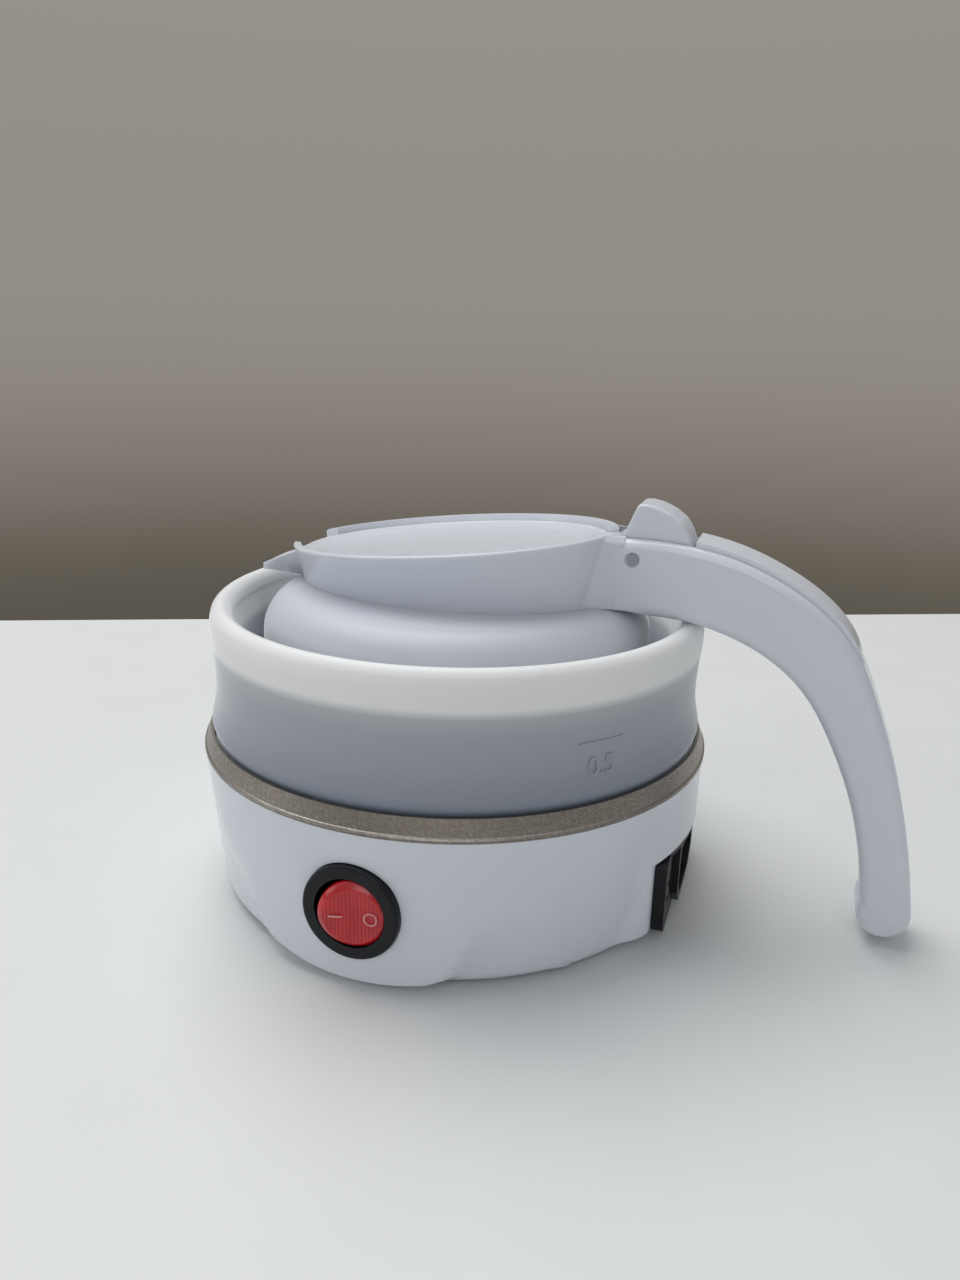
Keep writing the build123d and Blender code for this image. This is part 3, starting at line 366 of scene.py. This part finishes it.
def edge_of_tongue(x):
    """Height and steepness of the tongue's edge at x, on smooth arcs through its points."""
    index = max(i for i in range(1, len(tongue_edge) - 2) if tongue_edge[i][0] <= x or i == 1)
    before, here, after, beyond = tongue_edge[index - 1:index + 3]
    step = after[0] - here[0]
    slope_here = (after[1] - before[1]) / (after[0] - before[0])
    slope_after = (beyond[1] - here[1]) / (beyond[0] - here[0])
    t = (x - here[0]) / step
    level = (here[1] * (2 * t**3 - 3 * t**2 + 1) + after[1] * (3 * t**2 - 2 * t**3)
             + step * (slope_here * (t**3 - 2 * t**2 + t) + slope_after * (t**3 - t**2)))
    steepness = ((after[1] - here[1]) * (6 * t - 6 * t**2) / step
                 + slope_here * (3 * t**2 - 4 * t + 1) + slope_after * (3 * t**2 - 2 * t))
    return level, steepness


edge_zone = []
for vertex in base_tub.data.vertices:
    x, y, level = vertex.co / MM
    radius = hypot(x, y)
    on_wall = radius > wall_radius(level) - 0.5
    from_corner = hypot(radius - corner_centre, level - corner_level)
    on_corner = level < corner_level and from_corner > shell_corner - 0.2
    if radius < corner_centre + 0.2 or not (on_wall or on_corner):
        continue
    reach = radius
    if y < 0 and abs(x) < tongue_reach:
        edge_level, steepness = edge_of_tongue(x)
        inward = (level - edge_level) / hypot(1, steepness)
        width = (edge_width + edge_growth * eased(edge_level, 5, 14)
                 + shoulder_growth * eased(edge_level, 15, 25))
        share = sin(pi / 2 * min(max(inward / width + 1, 0), 1) ** 2) * (1 - eased(level, *tongue_fade))
        reach = max(reach, radius + share * (tongue_radius - radius))
        if 0.005 < share < 0.995 and 3.0 < level < 36.0:
            edge_zone.append(vertex.index)
    if x > 0 and abs(y) < pad_reach:
        flare = pad_flare + pad_low_flare * (1 - eased(level, 4, 15))
        share = (1 - eased(abs(y), pad_half_width, pad_half_width + flare)) * eased(level, *pad_fade)
        reach = max(reach, radius + share * (pad_radius - radius))
    vertex.co.xy *= reach / radius
select_points(base_tub, edge_zone)
bpy.ops.mesh.vertices_smooth(factor=0.5, repeat=6)
bpy.ops.object.mode_set(mode="OBJECT")

# the inlet's seat wall and recess, its opening and screw holes, then the switch's spot face and bore
seat_x, seat_wall, seat_radius, recess_top = 60.3, 2.4, 63.2, 22.6
inlet_level, inlet_half_width, inlet_half_height, opening_depth = 12.0, 13.3, 8.3, 9
screw_side, screw_hole_radius, screw_depth = 20, 1.55, 15
switch_seat, switch_level, spot_radius, spot_depth = 65.15, 19.6, 11.8, 10
bore_radius, bore_middle, bore_depth = 10.2, -60, 30
seat_top = recess_top + seat_wall
seat = drum((0, 0, (foot_level + seat_top) / 2), (0, 0, 1), seat_radius, seat_top - foot_level)
cut(seat, block((-80, -80, -5), (seat_x - seat_wall, 80, 60)))
cut(base_tub, seat, "UNION")
cut(base_tub, block((seat_x, -pad_half_width, -5), (90, pad_half_width, recess_top)))
cut(base_tub, block((seat_x - opening_depth, -inlet_half_width, inlet_level - inlet_half_height),
                    (seat_x + opening_depth, inlet_half_width, inlet_level + inlet_half_height)))
for side in (-1, 1):
    cut(base_tub, drum((seat_x, side * screw_side, inlet_level), (1, 0, 0), screw_hole_radius, screw_depth))
cut(base_tub, drum((0, -switch_seat - spot_depth / 2, switch_level), (0, 1, 0), spot_radius, spot_depth))
cut(base_tub, drum((0, bore_middle, switch_level), (0, 1, 0), bore_radius, bore_depth))

# three screw bosses for the bottom cover, each with a rib out to the wall
boss_count, boss_ring, boss_low, boss_high = 3, 45.5, 3.2, 14.0
boss_radius, pilot_radius, pilot_depth = 3.6, 1.45, 18
rib_end, rib_half = 62.0, 1.2
for index in range(boss_count):
    turn = Matrix.Rotation(radians(90 + 360 / boss_count * index), 3, "Z")
    middle = turn @ Vector((boss_ring, 0, (boss_low + boss_high) / 2))
    boss = drum(middle, (0, 0, 1), boss_radius, boss_high - boss_low)
    cut(boss, drum(turn @ Vector((boss_ring, 0, boss_low)), (0, 0, 1), pilot_radius, pilot_depth))
    rib = block((boss_ring + 2, -rib_half, floor_level - 0.2), (rib_end, rib_half, boss_high))
    rib.data.transform(turn.to_4x4() @ rib.matrix_basis)
    rib.matrix_basis = Matrix()
    for part in (boss, rib):
        cut(base_tub, part, "UNION")
take(base_tub)
bpy.ops.object.shade_smooth_by_angle(angle=radians(55))
base_tub.data.materials.clear()
base_tub.data.materials.append(white_plastic)
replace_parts(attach(base_tub, "base"), "base_shell")


# Handle root: in the real moulding the collar's side sweeps into the handle's cheek in one soft hollow.
# These two fillets of the same white plastic fill the corner on each side, with their backs in the collar.
collar_low, collar_rim, collar_slope = 78.6, 92.5, 0.10
cheek_x, sweep_x, sweep_lean = 44.6, 35.0, 3.4
sweep_steps, sweep_rows, round_rows = 14, 10, 5
outside_y, cheek_side = -60, -8.8
# the wall is felt between these two, so that the rays meet neither its lower edge nor its rim's rounding
felt_low, felt_high = collar_low + 0.3, collar_rim - 1.9
# the rounding of the top edge grows along the sweep, and the skin stands clear of the wall where it starts
first_rounding, last_rounding, clearance, feather = 0.6, 2.6, 0.04, 0.1
rim_level, rim_end = collar_rim - 0.1, 40.0
spine_x, spine_lean, spine_side = 37.4, 2.8, -8.0


def outer_side(x, level):
    """How far out the built collar or handle reaches at x and this height, in mm, on the switch side."""
    seen_from = Vector((x, outside_y, level)) * MM
    hit, place, _, _ = nodes["collar_and_handle"].ray_cast(seen_from, Vector((0, 1, 0)))
    return place.y / MM if hit else cheek_side


def skinned(name, points, faces):
    """A piece from its points, in mm, and its faces, taken and ready to be worked on."""
    mesh = bpy.data.meshes.new(name)
    mesh.from_pydata([(x * MM, y * MM, z * MM) for x, y, z in points], [], faces)
    piece = bpy.data.objects.new(name, mesh)
    bpy.context.scene.collection.objects.link(piece)
    take(piece)
    return piece


def both_sides(name, points, faces):
    """A white piece on the switch side and its mirror image on the far side, both on the top body."""
    for side, place in ((1, "near"), (-1, "far")):
        piece = skinned(name + "_" + place, [(x, y * side, z) for x, y, z in points], faces)
        turn_outwards()
        bpy.ops.object.shade_smooth_by_angle(angle=radians(50))
        piece.data.materials.append(white_plastic)
        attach(piece, "top")


fillet_points = []
for row in range(sweep_rows + round_rows):
    share = min(row / (sweep_rows - 1), 1)
    lift = max(row - sweep_rows + 1, 0) / round_rows * pi / 2
    felt = felt_low + (felt_high - felt_low) * share
    start = Vector((sweep_x + sweep_lean * share, outer_side(sweep_x + sweep_lean * share, felt)))
    behind = Vector((start.x - 0.5, outer_side(start.x - 0.5, felt)))
    end = Vector((cheek_x, outer_side(cheek_x, felt)))
    direction = (start - behind).normalized()
    knee = start + direction * (end.y - start.y) / direction.y
    for step in range(sweep_steps + 1):
        t = step / sweep_steps
        spot = start * (1 - t) ** 2 + knee * 2 * t * (1 - t) + end * t**2
        along = ((knee - start) * (1 - t) + (end - knee) * t).normalized()
        rounding = first_rounding + (last_rounding - first_rounding) * t
        top = rim_level + collar_slope * min(spot.x, rim_end)
        inset = rounding * (1 - cos(lift)) + clearance + feather * (1 - t) ** 4
        level = collar_low + (top - rounding - collar_low) * share + rounding * sin(lift)
        fillet_points.append((spot.x - along.y * inset, spot.y + along.x * inset, level))
    fillet_points.append((spine_x + spine_lean * share, spine_side, fillet_points[-1][2]))
around = sweep_steps + 2
rows_up = sweep_rows + round_rows
fillet_faces = [
    (row * around + step, row * around + (step + 1) % around, (row + 1) * around + (step + 1) % around,
     (row + 1) * around + step)
    for row in range(rows_up - 1) for step in range(around)
]
for base in (0, (rows_up - 1) * around):
    fillet_faces += [(base + around - 1, base + step, base + step + 1) for step in range(around - 2)]
both_sides("handle_root", fillet_points, fillet_faces)


# Spout lips: the beak's side walls rise to meet the collar's rim in one line on each side.
# Thin white plastic walls, rooted in the beak and rounded along their top edge.
lip_steps, lip_thickness, lip_arc_steps, lip_bulge, foot_share = 18, 1.7, 6, 0.5, 0.6
lip_root, lip_tip = Vector((-36.9, -18.0, 88.6)), Vector((-57.4, -2.2, 79.5))
lip_root_foot, lip_tip_foot = Vector((-37.2, -9.2, 79.0)), Vector((-57.2, -1.8, 77.9))
inward = Vector((0.45, 0.9, 0)).normalized() * lip_thickness
lip_points = []
for step in range(lip_steps + 1):
    t = step / lip_steps
    top = lip_root.lerp(lip_tip, t) + Vector((0, 0, lip_bulge * sin(pi * t)))
    foot = lip_root_foot.lerp(lip_tip_foot, t)
    lip_points += [foot]
    lip_points += [
        top + inward * (1 - cos(angle)) / 2 + Vector((0, 0, (sin(angle) - 1) * lip_thickness / 2))
        for angle in [pi * index / lip_arc_steps for index in range(lip_arc_steps + 1)]
    ]
    lip_points += [foot + inward * foot_share]
ring_size = lip_arc_steps + 3
lip_faces = [
    (step * ring_size + index, step * ring_size + (index + 1) % ring_size,
     (step + 1) * ring_size + (index + 1) % ring_size, (step + 1) * ring_size + index)
    for step in range(lip_steps) for index in range(ring_size)
]
lip_faces += [tuple(range(ring_size)), tuple(range(lip_steps * ring_size, (lip_steps + 1) * ring_size))]
both_sides("spout_lip", lip_points, lip_faces)


# Lid: a dished plate with a thumb tab on its hinge lug. The plate keeps its built shape up to the lug.
# The tab above it is moulded thick and well rounded, so it catches one soft highlight along its edge.
tab_foot, tab_front = 96.0, 42.5
lid_plate = nodes["lid"].copy()
lid_plate.data = nodes["lid"].data.copy()
lid_plate.name = "lid_plate"
lid_plate.parent = None
bpy.context.scene.collection.objects.link(lid_plate)
take(lid_plate)
bpy.ops.object.mode_set(mode="EDIT")
bpy.ops.mesh.select_all(action="SELECT")
bpy.ops.mesh.remove_doubles(threshold=0.001 * MM)
bpy.ops.mesh.select_all(action="DESELECT")
bpy.ops.object.mode_set(mode="OBJECT")
for face in lid_plate.data.polygons:
    face.select = all(lid_plate.data.vertices[index].co.x > tab_front * MM for index in face.vertices)
bpy.ops.object.mode_set(mode="EDIT")
bpy.ops.mesh.bisect(plane_co=(0, 0, tab_foot * MM), plane_no=(0, 0, 1), clear_outer=True, use_fill=True)
bpy.ops.mesh.select_all(action="DESELECT")
bpy.ops.object.mode_set(mode="OBJECT")
bpy.ops.object.shade_smooth_by_angle(angle=radians(30))
lid_plate.data.materials.clear()
lid_plate.data.materials.append(white_plastic)

# the tab's side outline about the pin: its front and crown, then an arc that clears the handle's strip
pin_x, pin_level, tab_radius, tab_half_width = 46.8, 91.3, 14.0, 5.8
tab_line = [(-4.6, 1.0), (-3.5, 4.6), (-2.4, 6.8), (0.0, 12.75), (1.8, 13.0), (4.9, 12.4), (7.9, 11.1)]
tab_line += [(tab_radius * cos(angle), tab_radius * sin(angle))
             for angle in [radians(41 - 3.6 * step) for step in range(11)]]
tab_line += [(11.5, 0.5)]
thumb_tab = skinned("thumb_tab", [(pin_x + x, tab_half_width, pin_level + z) for x, z in tab_line],
                    [tuple(range(len(tab_line)))])
bpy.ops.object.mode_set(mode="EDIT")
bpy.ops.mesh.select_all(action="SELECT")
bpy.ops.mesh.extrude_region_move(TRANSFORM_OT_translate={"value": (0, -2 * tab_half_width * MM, 0)})
bpy.ops.object.mode_set(mode="OBJECT")
turn_outwards()
even_mesh = thumb_tab.modifiers.new("even_mesh", "REMESH")
even_mesh.mode = "VOXEL"
even_mesh.voxel_size = 0.3 * MM
bpy.ops.object.modifier_apply(modifier="even_mesh")
worn_edges = thumb_tab.modifiers.new("worn_edges", "SMOOTH")
worn_edges.iterations = 30
bpy.ops.object.modifier_apply(modifier="worn_edges")
bpy.ops.object.shade_smooth_by_angle(angle=radians(50))
thumb_tab.data.materials.append(white_plastic)
for part in (lid_plate, thumb_tab):
    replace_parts(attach(part, "lid"), "lid")


# Silicone body: one soft moulding in the real kettle, here outer wall with rolled rim, fold and dome.
# Frosted translucent food-grade silicone: pale where it is thick; below that its colour is painted shade,
# bluish grey for the dark inside seen through the wall.
silicone, silicone_tree, silicone_shader = new_material(
    "frosted_silicone", "c4c8cc", 0.45, IOR=1.41, Subsurface_Weight=0.4, Subsurface_Scale=0.004,
    Sheen_Weight=0.8, Sheen_Roughness=0.3,
)
silicone_shader.inputs["Subsurface Radius"].default_value = (1.0, 1.0, 1.0)
silicone_place = add_node(silicone_tree, "ShaderNodeTexCoord").outputs["Object"]
height = add_node(silicone_tree, "ShaderNodeSeparateXYZ", {0: silicone_place}).outputs["Z"]
low_wall, high_wall = 43 * MM, 80 * MM
shade_by_height = add_node(silicone_tree, "ShaderNodeMapRange", {
    "Value": height, "From Min": low_wall, "From Max": high_wall,
})
# painted shade: pale rim above the fold line, bluish grey below it, darkest just above the steel band
add_node(silicone_tree, "ShaderNodeValToRGB", {"Fac": shade_by_height},
         feeds=silicone_shader.inputs["Base Color"], stops=(
             (0.0, "6a7380"), (0.05, "7c8592"), (0.13, "989da7"), (0.30, "a5a8b0"), (0.50, "acafb6"),
             (0.61, "b9bcc0"), (0.67, "f2f2f0"), (1.0, "f6f6f4"),
         ))
frost_size = 0.5 * MM
frost = add_node(silicone_tree, "ShaderNodeTexNoise", {
    "Vector": silicone_place, "Scale": 1 / frost_size, "Detail": 2.0,
})
add_node(silicone_tree, "ShaderNodeBump", {"Height": frost, "Strength": 0.12, "Distance": 0.05 * MM},
         feeds=silicone_shader.inputs["Normal"])

# the dome stands over the open inside, so painted shade keeps it pale and bluish all the way up, a little
# darker towards its foot
dome_silicone = silicone.copy()
dome_silicone.name = "frosted_silicone_dome"
dome_shade_ramp = next(node for node in dome_silicone.node_tree.nodes if node.type == "VALTORGB")
for element, colour in zip(dome_shade_ramp.color_ramp.elements,
                           ("8b919b", "949aa4", "a2a8b1", "b2b7be", "c0c4ca", "c4c8ce", "c8ccd2", "ced2da")):
    element.color = linear(colour)

outer_wall = turned_solid("silicone_outer_wall", (
    (59.6, 39.85, True), (64.0, 39.85, True), (64.1, 44.3, True), (64.7, 46.3, False), (64.2, 49.0, False),
    (63.5, 53.0, False), (63.3, 58.0, False), (63.6, 64.0, False), (64.1, 70.0, False), (63.9, 73.2, False),
    (62.9, 75.5, False), (61.1, 76.3, False), (59.3, 75.2, False), (58.4, 72.9, False), (58.3, 72.0, True),
    (60.5, 72.0, True), (61.3, 69.8, True), (61.3, 44.2, True), (59.6, 44.2, True),
))
outer_wall.data.materials.append(silicone)
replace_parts(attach(outer_wall, "base"), "silicone_lower_wall")

# the fold hangs from the rim, leans in and turns back up into the dome's foot
fold_top, fold_low, web_lean = 72.0, 50.0, 5.7
turn_centre, turn_outer, turn_inner = 51.7, 3.1, 0.9
web_rows, turn_rows = 40, 12
web_shares = [index / web_rows for index in range(web_rows + 1)]
fold_drop = fold_top - fold_low
web_outside = [(60.5 - web_lean * share, fold_top - fold_drop * share, True) for share in web_shares]
web_inside = [(52.6 + web_lean * share, fold_low + fold_drop * share, True) for share in web_shares]
turn_outside = [
    (turn_centre + turn_outer * cos(angle), fold_low - turn_outer * sin(angle), True)
    for angle in [pi * index / turn_rows for index in range(1, turn_rows + 1)]
]
turn_inside = [
    (turn_centre - turn_inner * cos(angle), fold_low - turn_inner * sin(angle), True)
    for angle in [pi * index / turn_rows for index in range(turn_rows)]
]
fold = turned_solid("silicone_fold_web", web_outside + turn_outside + turn_inside + web_inside, rows=1)
fold.data.materials.append(silicone)
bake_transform(fold)
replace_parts(fold, "silicone_fold")

# the dome is turned with a round mouth, whose edge is then drawn to the collar's oval and towards the spout
round_mouth, mouth_length, mouth_width, mouth_shift = 36.8, 34.9, 20.5, -2.0
dome = turned_solid("silicone_dome", (
    (48.6, 50.0, True), (50.8, 50.0, True), (50.8, 68.0, True), (50.35, 71.2, False), (49.0, 74.0, False),
    (46.9, 76.4, False), (44.0, 78.0, False), (40.8, 78.6, True), (round_mouth, 78.6, True),
    (round_mouth, 76.4, True), (40.8, 76.4, True), (45.3, 74.9, False), (47.9, 71.4, False),
    (48.6, 68.0, True),
))
select_points(dome, [point.index for point in dome.data.vertices
                     if point.co.xy.length < (round_mouth + 0.2) * MM])
bpy.ops.transform.resize(value=(mouth_length / round_mouth, mouth_width / round_mouth, 1),
                         center_override=(0, 0, 0))
bpy.ops.transform.translate(value=(mouth_shift * MM, 0, 0))
bpy.ops.object.mode_set(mode="OBJECT")
dome.data.materials.append(dome_silicone)
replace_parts(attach(dome, "top"), "silicone_upper_wall")
finish(silicone, "lid_seal")


# Level mark: a tick and a plain number, moulded about 0.3 mm proud of the silicone wall.
# It is drawn flat, then wrapped on the wall. It is the same silicone, so that only its edges catch the light.
mark_radius, mark_turn = 63.35, radians(-90 + 50)
tick_level, number_level, number_size = 58.0, 50.5, 6.0
tick_length, tick_width, mark_rise = 12, 0.5, 0.3
outside_wall = 80
bpy.ops.object.select_all(action="DESELECT")
bpy.ops.object.text_add()
level_mark = bpy.context.object
level_mark.name = "level_mark"
level_mark.data.body = "0.5"
level_mark.data.size = number_size
level_mark.data.align_x = "CENTER"
level_mark.data.extrude = mark_rise
bpy.ops.object.convert(target="MESH")
bpy.ops.object.mode_set(mode="EDIT")
bpy.ops.mesh.primitive_cube_add(size=1, location=(0, tick_level - number_level, 0),
                                scale=(tick_length, tick_width, tick_width))
bpy.ops.mesh.select_all(action="SELECT")
bpy.ops.mesh.subdivide(number_cuts=2)
bpy.ops.object.mode_set(mode="OBJECT")
for vertex in level_mark.data.vertices:
    across, up, out = vertex.co
    turn = mark_turn + across / mark_radius
    outward = Vector((cos(turn), sin(turn), 0))
    seen_from = (outward * outside_wall + Vector((0, 0, number_level + up))) * MM
    _, spot, _, _ = outer_wall.ray_cast(seen_from, -outward)
    reach = spot.xy.length / MM + out
    vertex.co = (reach * cos(turn) * MM, reach * sin(turn) * MM, (number_level + up) * MM)
level_mark.data.materials.append(silicone)
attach(level_mark, "base")


# Steel band: pressed stainless strip round the joint, its lower edge rolled to a lip.
# The warm grey metal is scratch-brushed on the slant, so it glitters in fine diagonal streaks.
steel, steel_tree, steel_shader = new_material("slant_brushed_stainless_steel", "958f87", 0.34, Metallic=1.0)
steel_place = add_node(steel_tree, "ShaderNodeTexCoord").outputs["Object"]
band_radius = 66 * MM
slant = 1.1
steel_height = add_node(steel_tree, "ShaderNodeSeparateXYZ", {0: steel_place}).outputs["Z"]
twist = add_node(steel_tree, "ShaderNodeMath", {0: steel_height, 1: slant / band_radius},
                 operation="MULTIPLY")
wound = add_node(steel_tree, "ShaderNodeVectorRotate", {"Vector": steel_place, "Angle": twist},
                 rotation_type="Z_AXIS")
stretch = (1, 1, 0.03)
drawn_out = add_node(steel_tree, "ShaderNodeMapping", {"Vector": wound, "Scale": stretch})
# real scratches are 0.1 mm apart, drawn 0.25 mm apart so that they show
scratch_size = 0.25 * MM
scratches = add_node(steel_tree, "ShaderNodeTexNoise", {
    "Vector": drawn_out, "Scale": 1 / scratch_size, "Detail": 5.0, "Roughness": 0.6,
})
add_node(steel_tree, "ShaderNodeValToRGB", {"Fac": scratches}, feeds=steel_shader.inputs["Base Color"],
         stops=((0.3, "7a746d"), (0.5, "97918a"), (0.7, "c2bdb6")))
add_node(steel_tree, "ShaderNodeMapRange", {
    "Value": scratches, "From Min": 0.3, "From Max": 0.7, "To Min": 0.46, "To Max": 0.28,
}, feeds=steel_shader.inputs["Roughness"])
add_node(steel_tree, "ShaderNodeBump", {"Height": scratches, "Strength": 0.35, "Distance": 0.03 * MM},
         feeds=steel_shader.inputs["Normal"])
finish(steel, "steel_band")


# Rubber foot ring, heater metal, screws and wiring: bought parts, seen only from below or with the lid open.
# Each has the plain finish of its trade: matt rubber, drawn stainless sheet, cast aluminium, brass, wire.
def grained(name, colour, dark, roughness, grain, strength, **sockets):
    """A material mottled at its own grain size, in metres, with bump to match."""
    material, tree, shader = new_material(name, colour, roughness, **sockets)
    place = add_node(tree, "ShaderNodeTexCoord").outputs["Object"]
    noise = add_node(tree, "ShaderNodeTexNoise", {"Vector": place, "Scale": 1 / grain, "Detail": 3.0})
    add_node(tree, "ShaderNodeValToRGB", {"Fac": noise}, feeds=shader.inputs["Base Color"],
             stops=((0.35, dark), (0.65, colour)))
    add_node(tree, "ShaderNodeBump", {"Height": noise, "Strength": strength, "Distance": 0.05 * MM},
             feeds=shader.inputs["Normal"])
    return material


finish(grained("matt_rubber", "4b4b4d", "434345", 0.8, 0.6 * MM, 0.3), "foot_ring")
finish(grained("drawn_stainless_steel", "b4b4b2", "a4a4a2", 0.25, 1.5 * MM, 0.1, Metallic=1.0),
       "heating_dish", "cover_screws", "neck_screws", "inlet_screws")
finish(grained("acetal_pin", "b3b3c0", "aaaab8", 0.35, 1 * MM, 0.1), "hinge_pin")
finish(grained("cast_aluminium", "b9bbbd", "a9abad", 0.45, 0.8 * MM, 0.4, Metallic=1.0),
       "diffuser_plate", "heating_element")
finish(grained("bare_brass", "c9a45c", "b8934c", 0.3, 0.8 * MM, 0.1, Metallic=1.0),
       "switch_terminals", "inlet_pins", "thermal_fuse")
finish(grained("brown_wire_sleeve", "56301a", "4a2915", 0.5, 0.5 * MM, 0.1),
       "wire_live", "wire_load", "wire_heater")
finish(grained("blue_wire_sleeve", "1f4f9e", "1a4489", 0.5, 0.5 * MM, 0.1), "wire_neutral", "wire_return")
finish(grained("green_wire_sleeve", "6fa03a", "5f8c30", 0.5, 0.5 * MM, 0.1), "wire_earth")
finish(grained("lamp_glass", "f0d8c8", "e8ccba", 0.05, 1 * MM, 0.05, Transmission_Weight=0.8), "neon_lamp")

# Switch housing, inlet housing and thermostat: black heat-resistant thermoplastic, spark-eroded mould finish.
# The skin is a fine matt grain with a soft sheen on its edges.
black_plastic = grained("black_grained_nylon", "0c1117", "080b10", 0.42, 0.3 * MM, 0.15,
                        Specular_IOR_Level=0.3)
finish(black_plastic, "switch_housing", "inlet_housing", "thermostat")


# Rocker: the red key of the switch, moulded in clear red polycarbonate over a lamp, with fine upright ribs.
# Its face is dished a little and its rim chamfered. The dash and the ring are printed pale red on the ribs.
# It is turned face up, and tipped into its housing with the left half out.
key_radius, face_radius = 8.15, 6.8
pivot_y, key_rise, key_dish, key_tilt = -60.85, 7.3, 0.012, 11.0
skirt_top, skirt_foot = 5.0, 3.4
rib_pitch, rib_height, rib_sharpness = 0.86, 0.22, 0.6
face_rows = 46
key_line = [(face_radius * row / face_rows, key_rise, True) for row in range(face_rows + 1)]
key_line += [
    (7.05, key_rise - 0.16, True), (7.95, key_rise - 0.95, True), (key_radius, key_rise - 1.25, True),
    (key_radius, skirt_top, True), (7.2, skirt_foot, True), (0, skirt_foot, True),
]
rocker_key = turned_solid("rocker_key", key_line, rows=1, sectors=((360, 180),), closed=False)
for vertex in rocker_key.data.vertices:
    x, z, out = vertex.co / MM
    if out > skirt_top - 0.1:
        out += key_dish * x * x
    if out > key_rise - 0.05 and hypot(x, z) < face_radius - 0.05:
        out += rib_height * (0.5 + 0.5 * cos(2 * pi * x / rib_pitch)) ** rib_sharpness
    vertex.co.z = out * MM
red, red_tree, red_shader = new_material(
    "clear_red_polycarbonate", "c1121c", 0.22, IOR=1.58, Subsurface_Weight=0.35, Subsurface_Scale=0.0015,
)
red_shader.inputs["Subsurface Radius"].default_value = (1.0, 0.15, 0.15)
red_place = add_node(red_tree, "ShaderNodeTexCoord").outputs["Object"]
cloud_size = 5 * MM
clouds = add_node(red_tree, "ShaderNodeTexNoise", {
    "Vector": red_place, "Scale": 1 / cloud_size, "Detail": 2.0,
})
add_node(red_tree, "ShaderNodeValToRGB", {"Fac": clouds}, feeds=red_shader.inputs["Base Color"],
         stops=((0.3, "b3101a"), (0.7, "cc1420")))
rocker_key.data.materials.append(red)

mark_print = grained("pale_red_print", "e59a98", "dc908e", 0.5, 0.5 * MM, 0.05)
mark_lift = key_rise + rib_height + 0.12
dash_place, dash_size = -3.9, (3.2, 0.45, 0.16)
ring_place, ring_radius, ring_wire = 4.0, 1.42, 0.2
bpy.ops.object.select_all(action="DESELECT")
bpy.ops.mesh.primitive_cube_add(size=1, location=(0, 0, 0), scale=dash_size)
dash = bpy.context.object
bpy.ops.object.transform_apply(location=True, rotation=True, scale=True)
bpy.ops.object.mode_set(mode="EDIT")
bpy.ops.mesh.select_all(action="SELECT")
bpy.ops.mesh.bevel(offset=0.05, segments=2, affect="EDGES")
bpy.ops.object.mode_set(mode="OBJECT")
bpy.ops.mesh.primitive_torus_add(major_radius=ring_radius, minor_radius=ring_wire,
                                 major_segments=64, minor_segments=10)
ring = bpy.context.object
bpy.ops.object.mode_set(mode="EDIT")
bpy.ops.mesh.select_all(action="SELECT")
bpy.ops.transform.resize(value=(1, 1, 0.4), center_override=(0, 0, 0))
bpy.ops.object.mode_set(mode="OBJECT")
to_switch = (Matrix.Translation(Vector((0, pivot_y, switch_level)) * MM)
             @ Matrix.Rotation(radians(key_tilt), 4, "Z") @ Matrix.Rotation(radians(90), 4, "X"))
for part, name, across in ((dash, "dash_mark", dash_place), (ring, "ring_mark", ring_place)):
    part.name = name
    for vertex in part.data.vertices:
        x = vertex.co.x + across
        vertex.co = (x * MM, vertex.co.y * MM, (vertex.co.z + mark_lift + key_dish * x * x) * MM)
    part.data.materials.append(mark_print)
for part in (rocker_key, dash, ring):
    part.data.transform(to_switch)
    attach(part, "rocker")
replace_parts(rocker_key, "rocker")
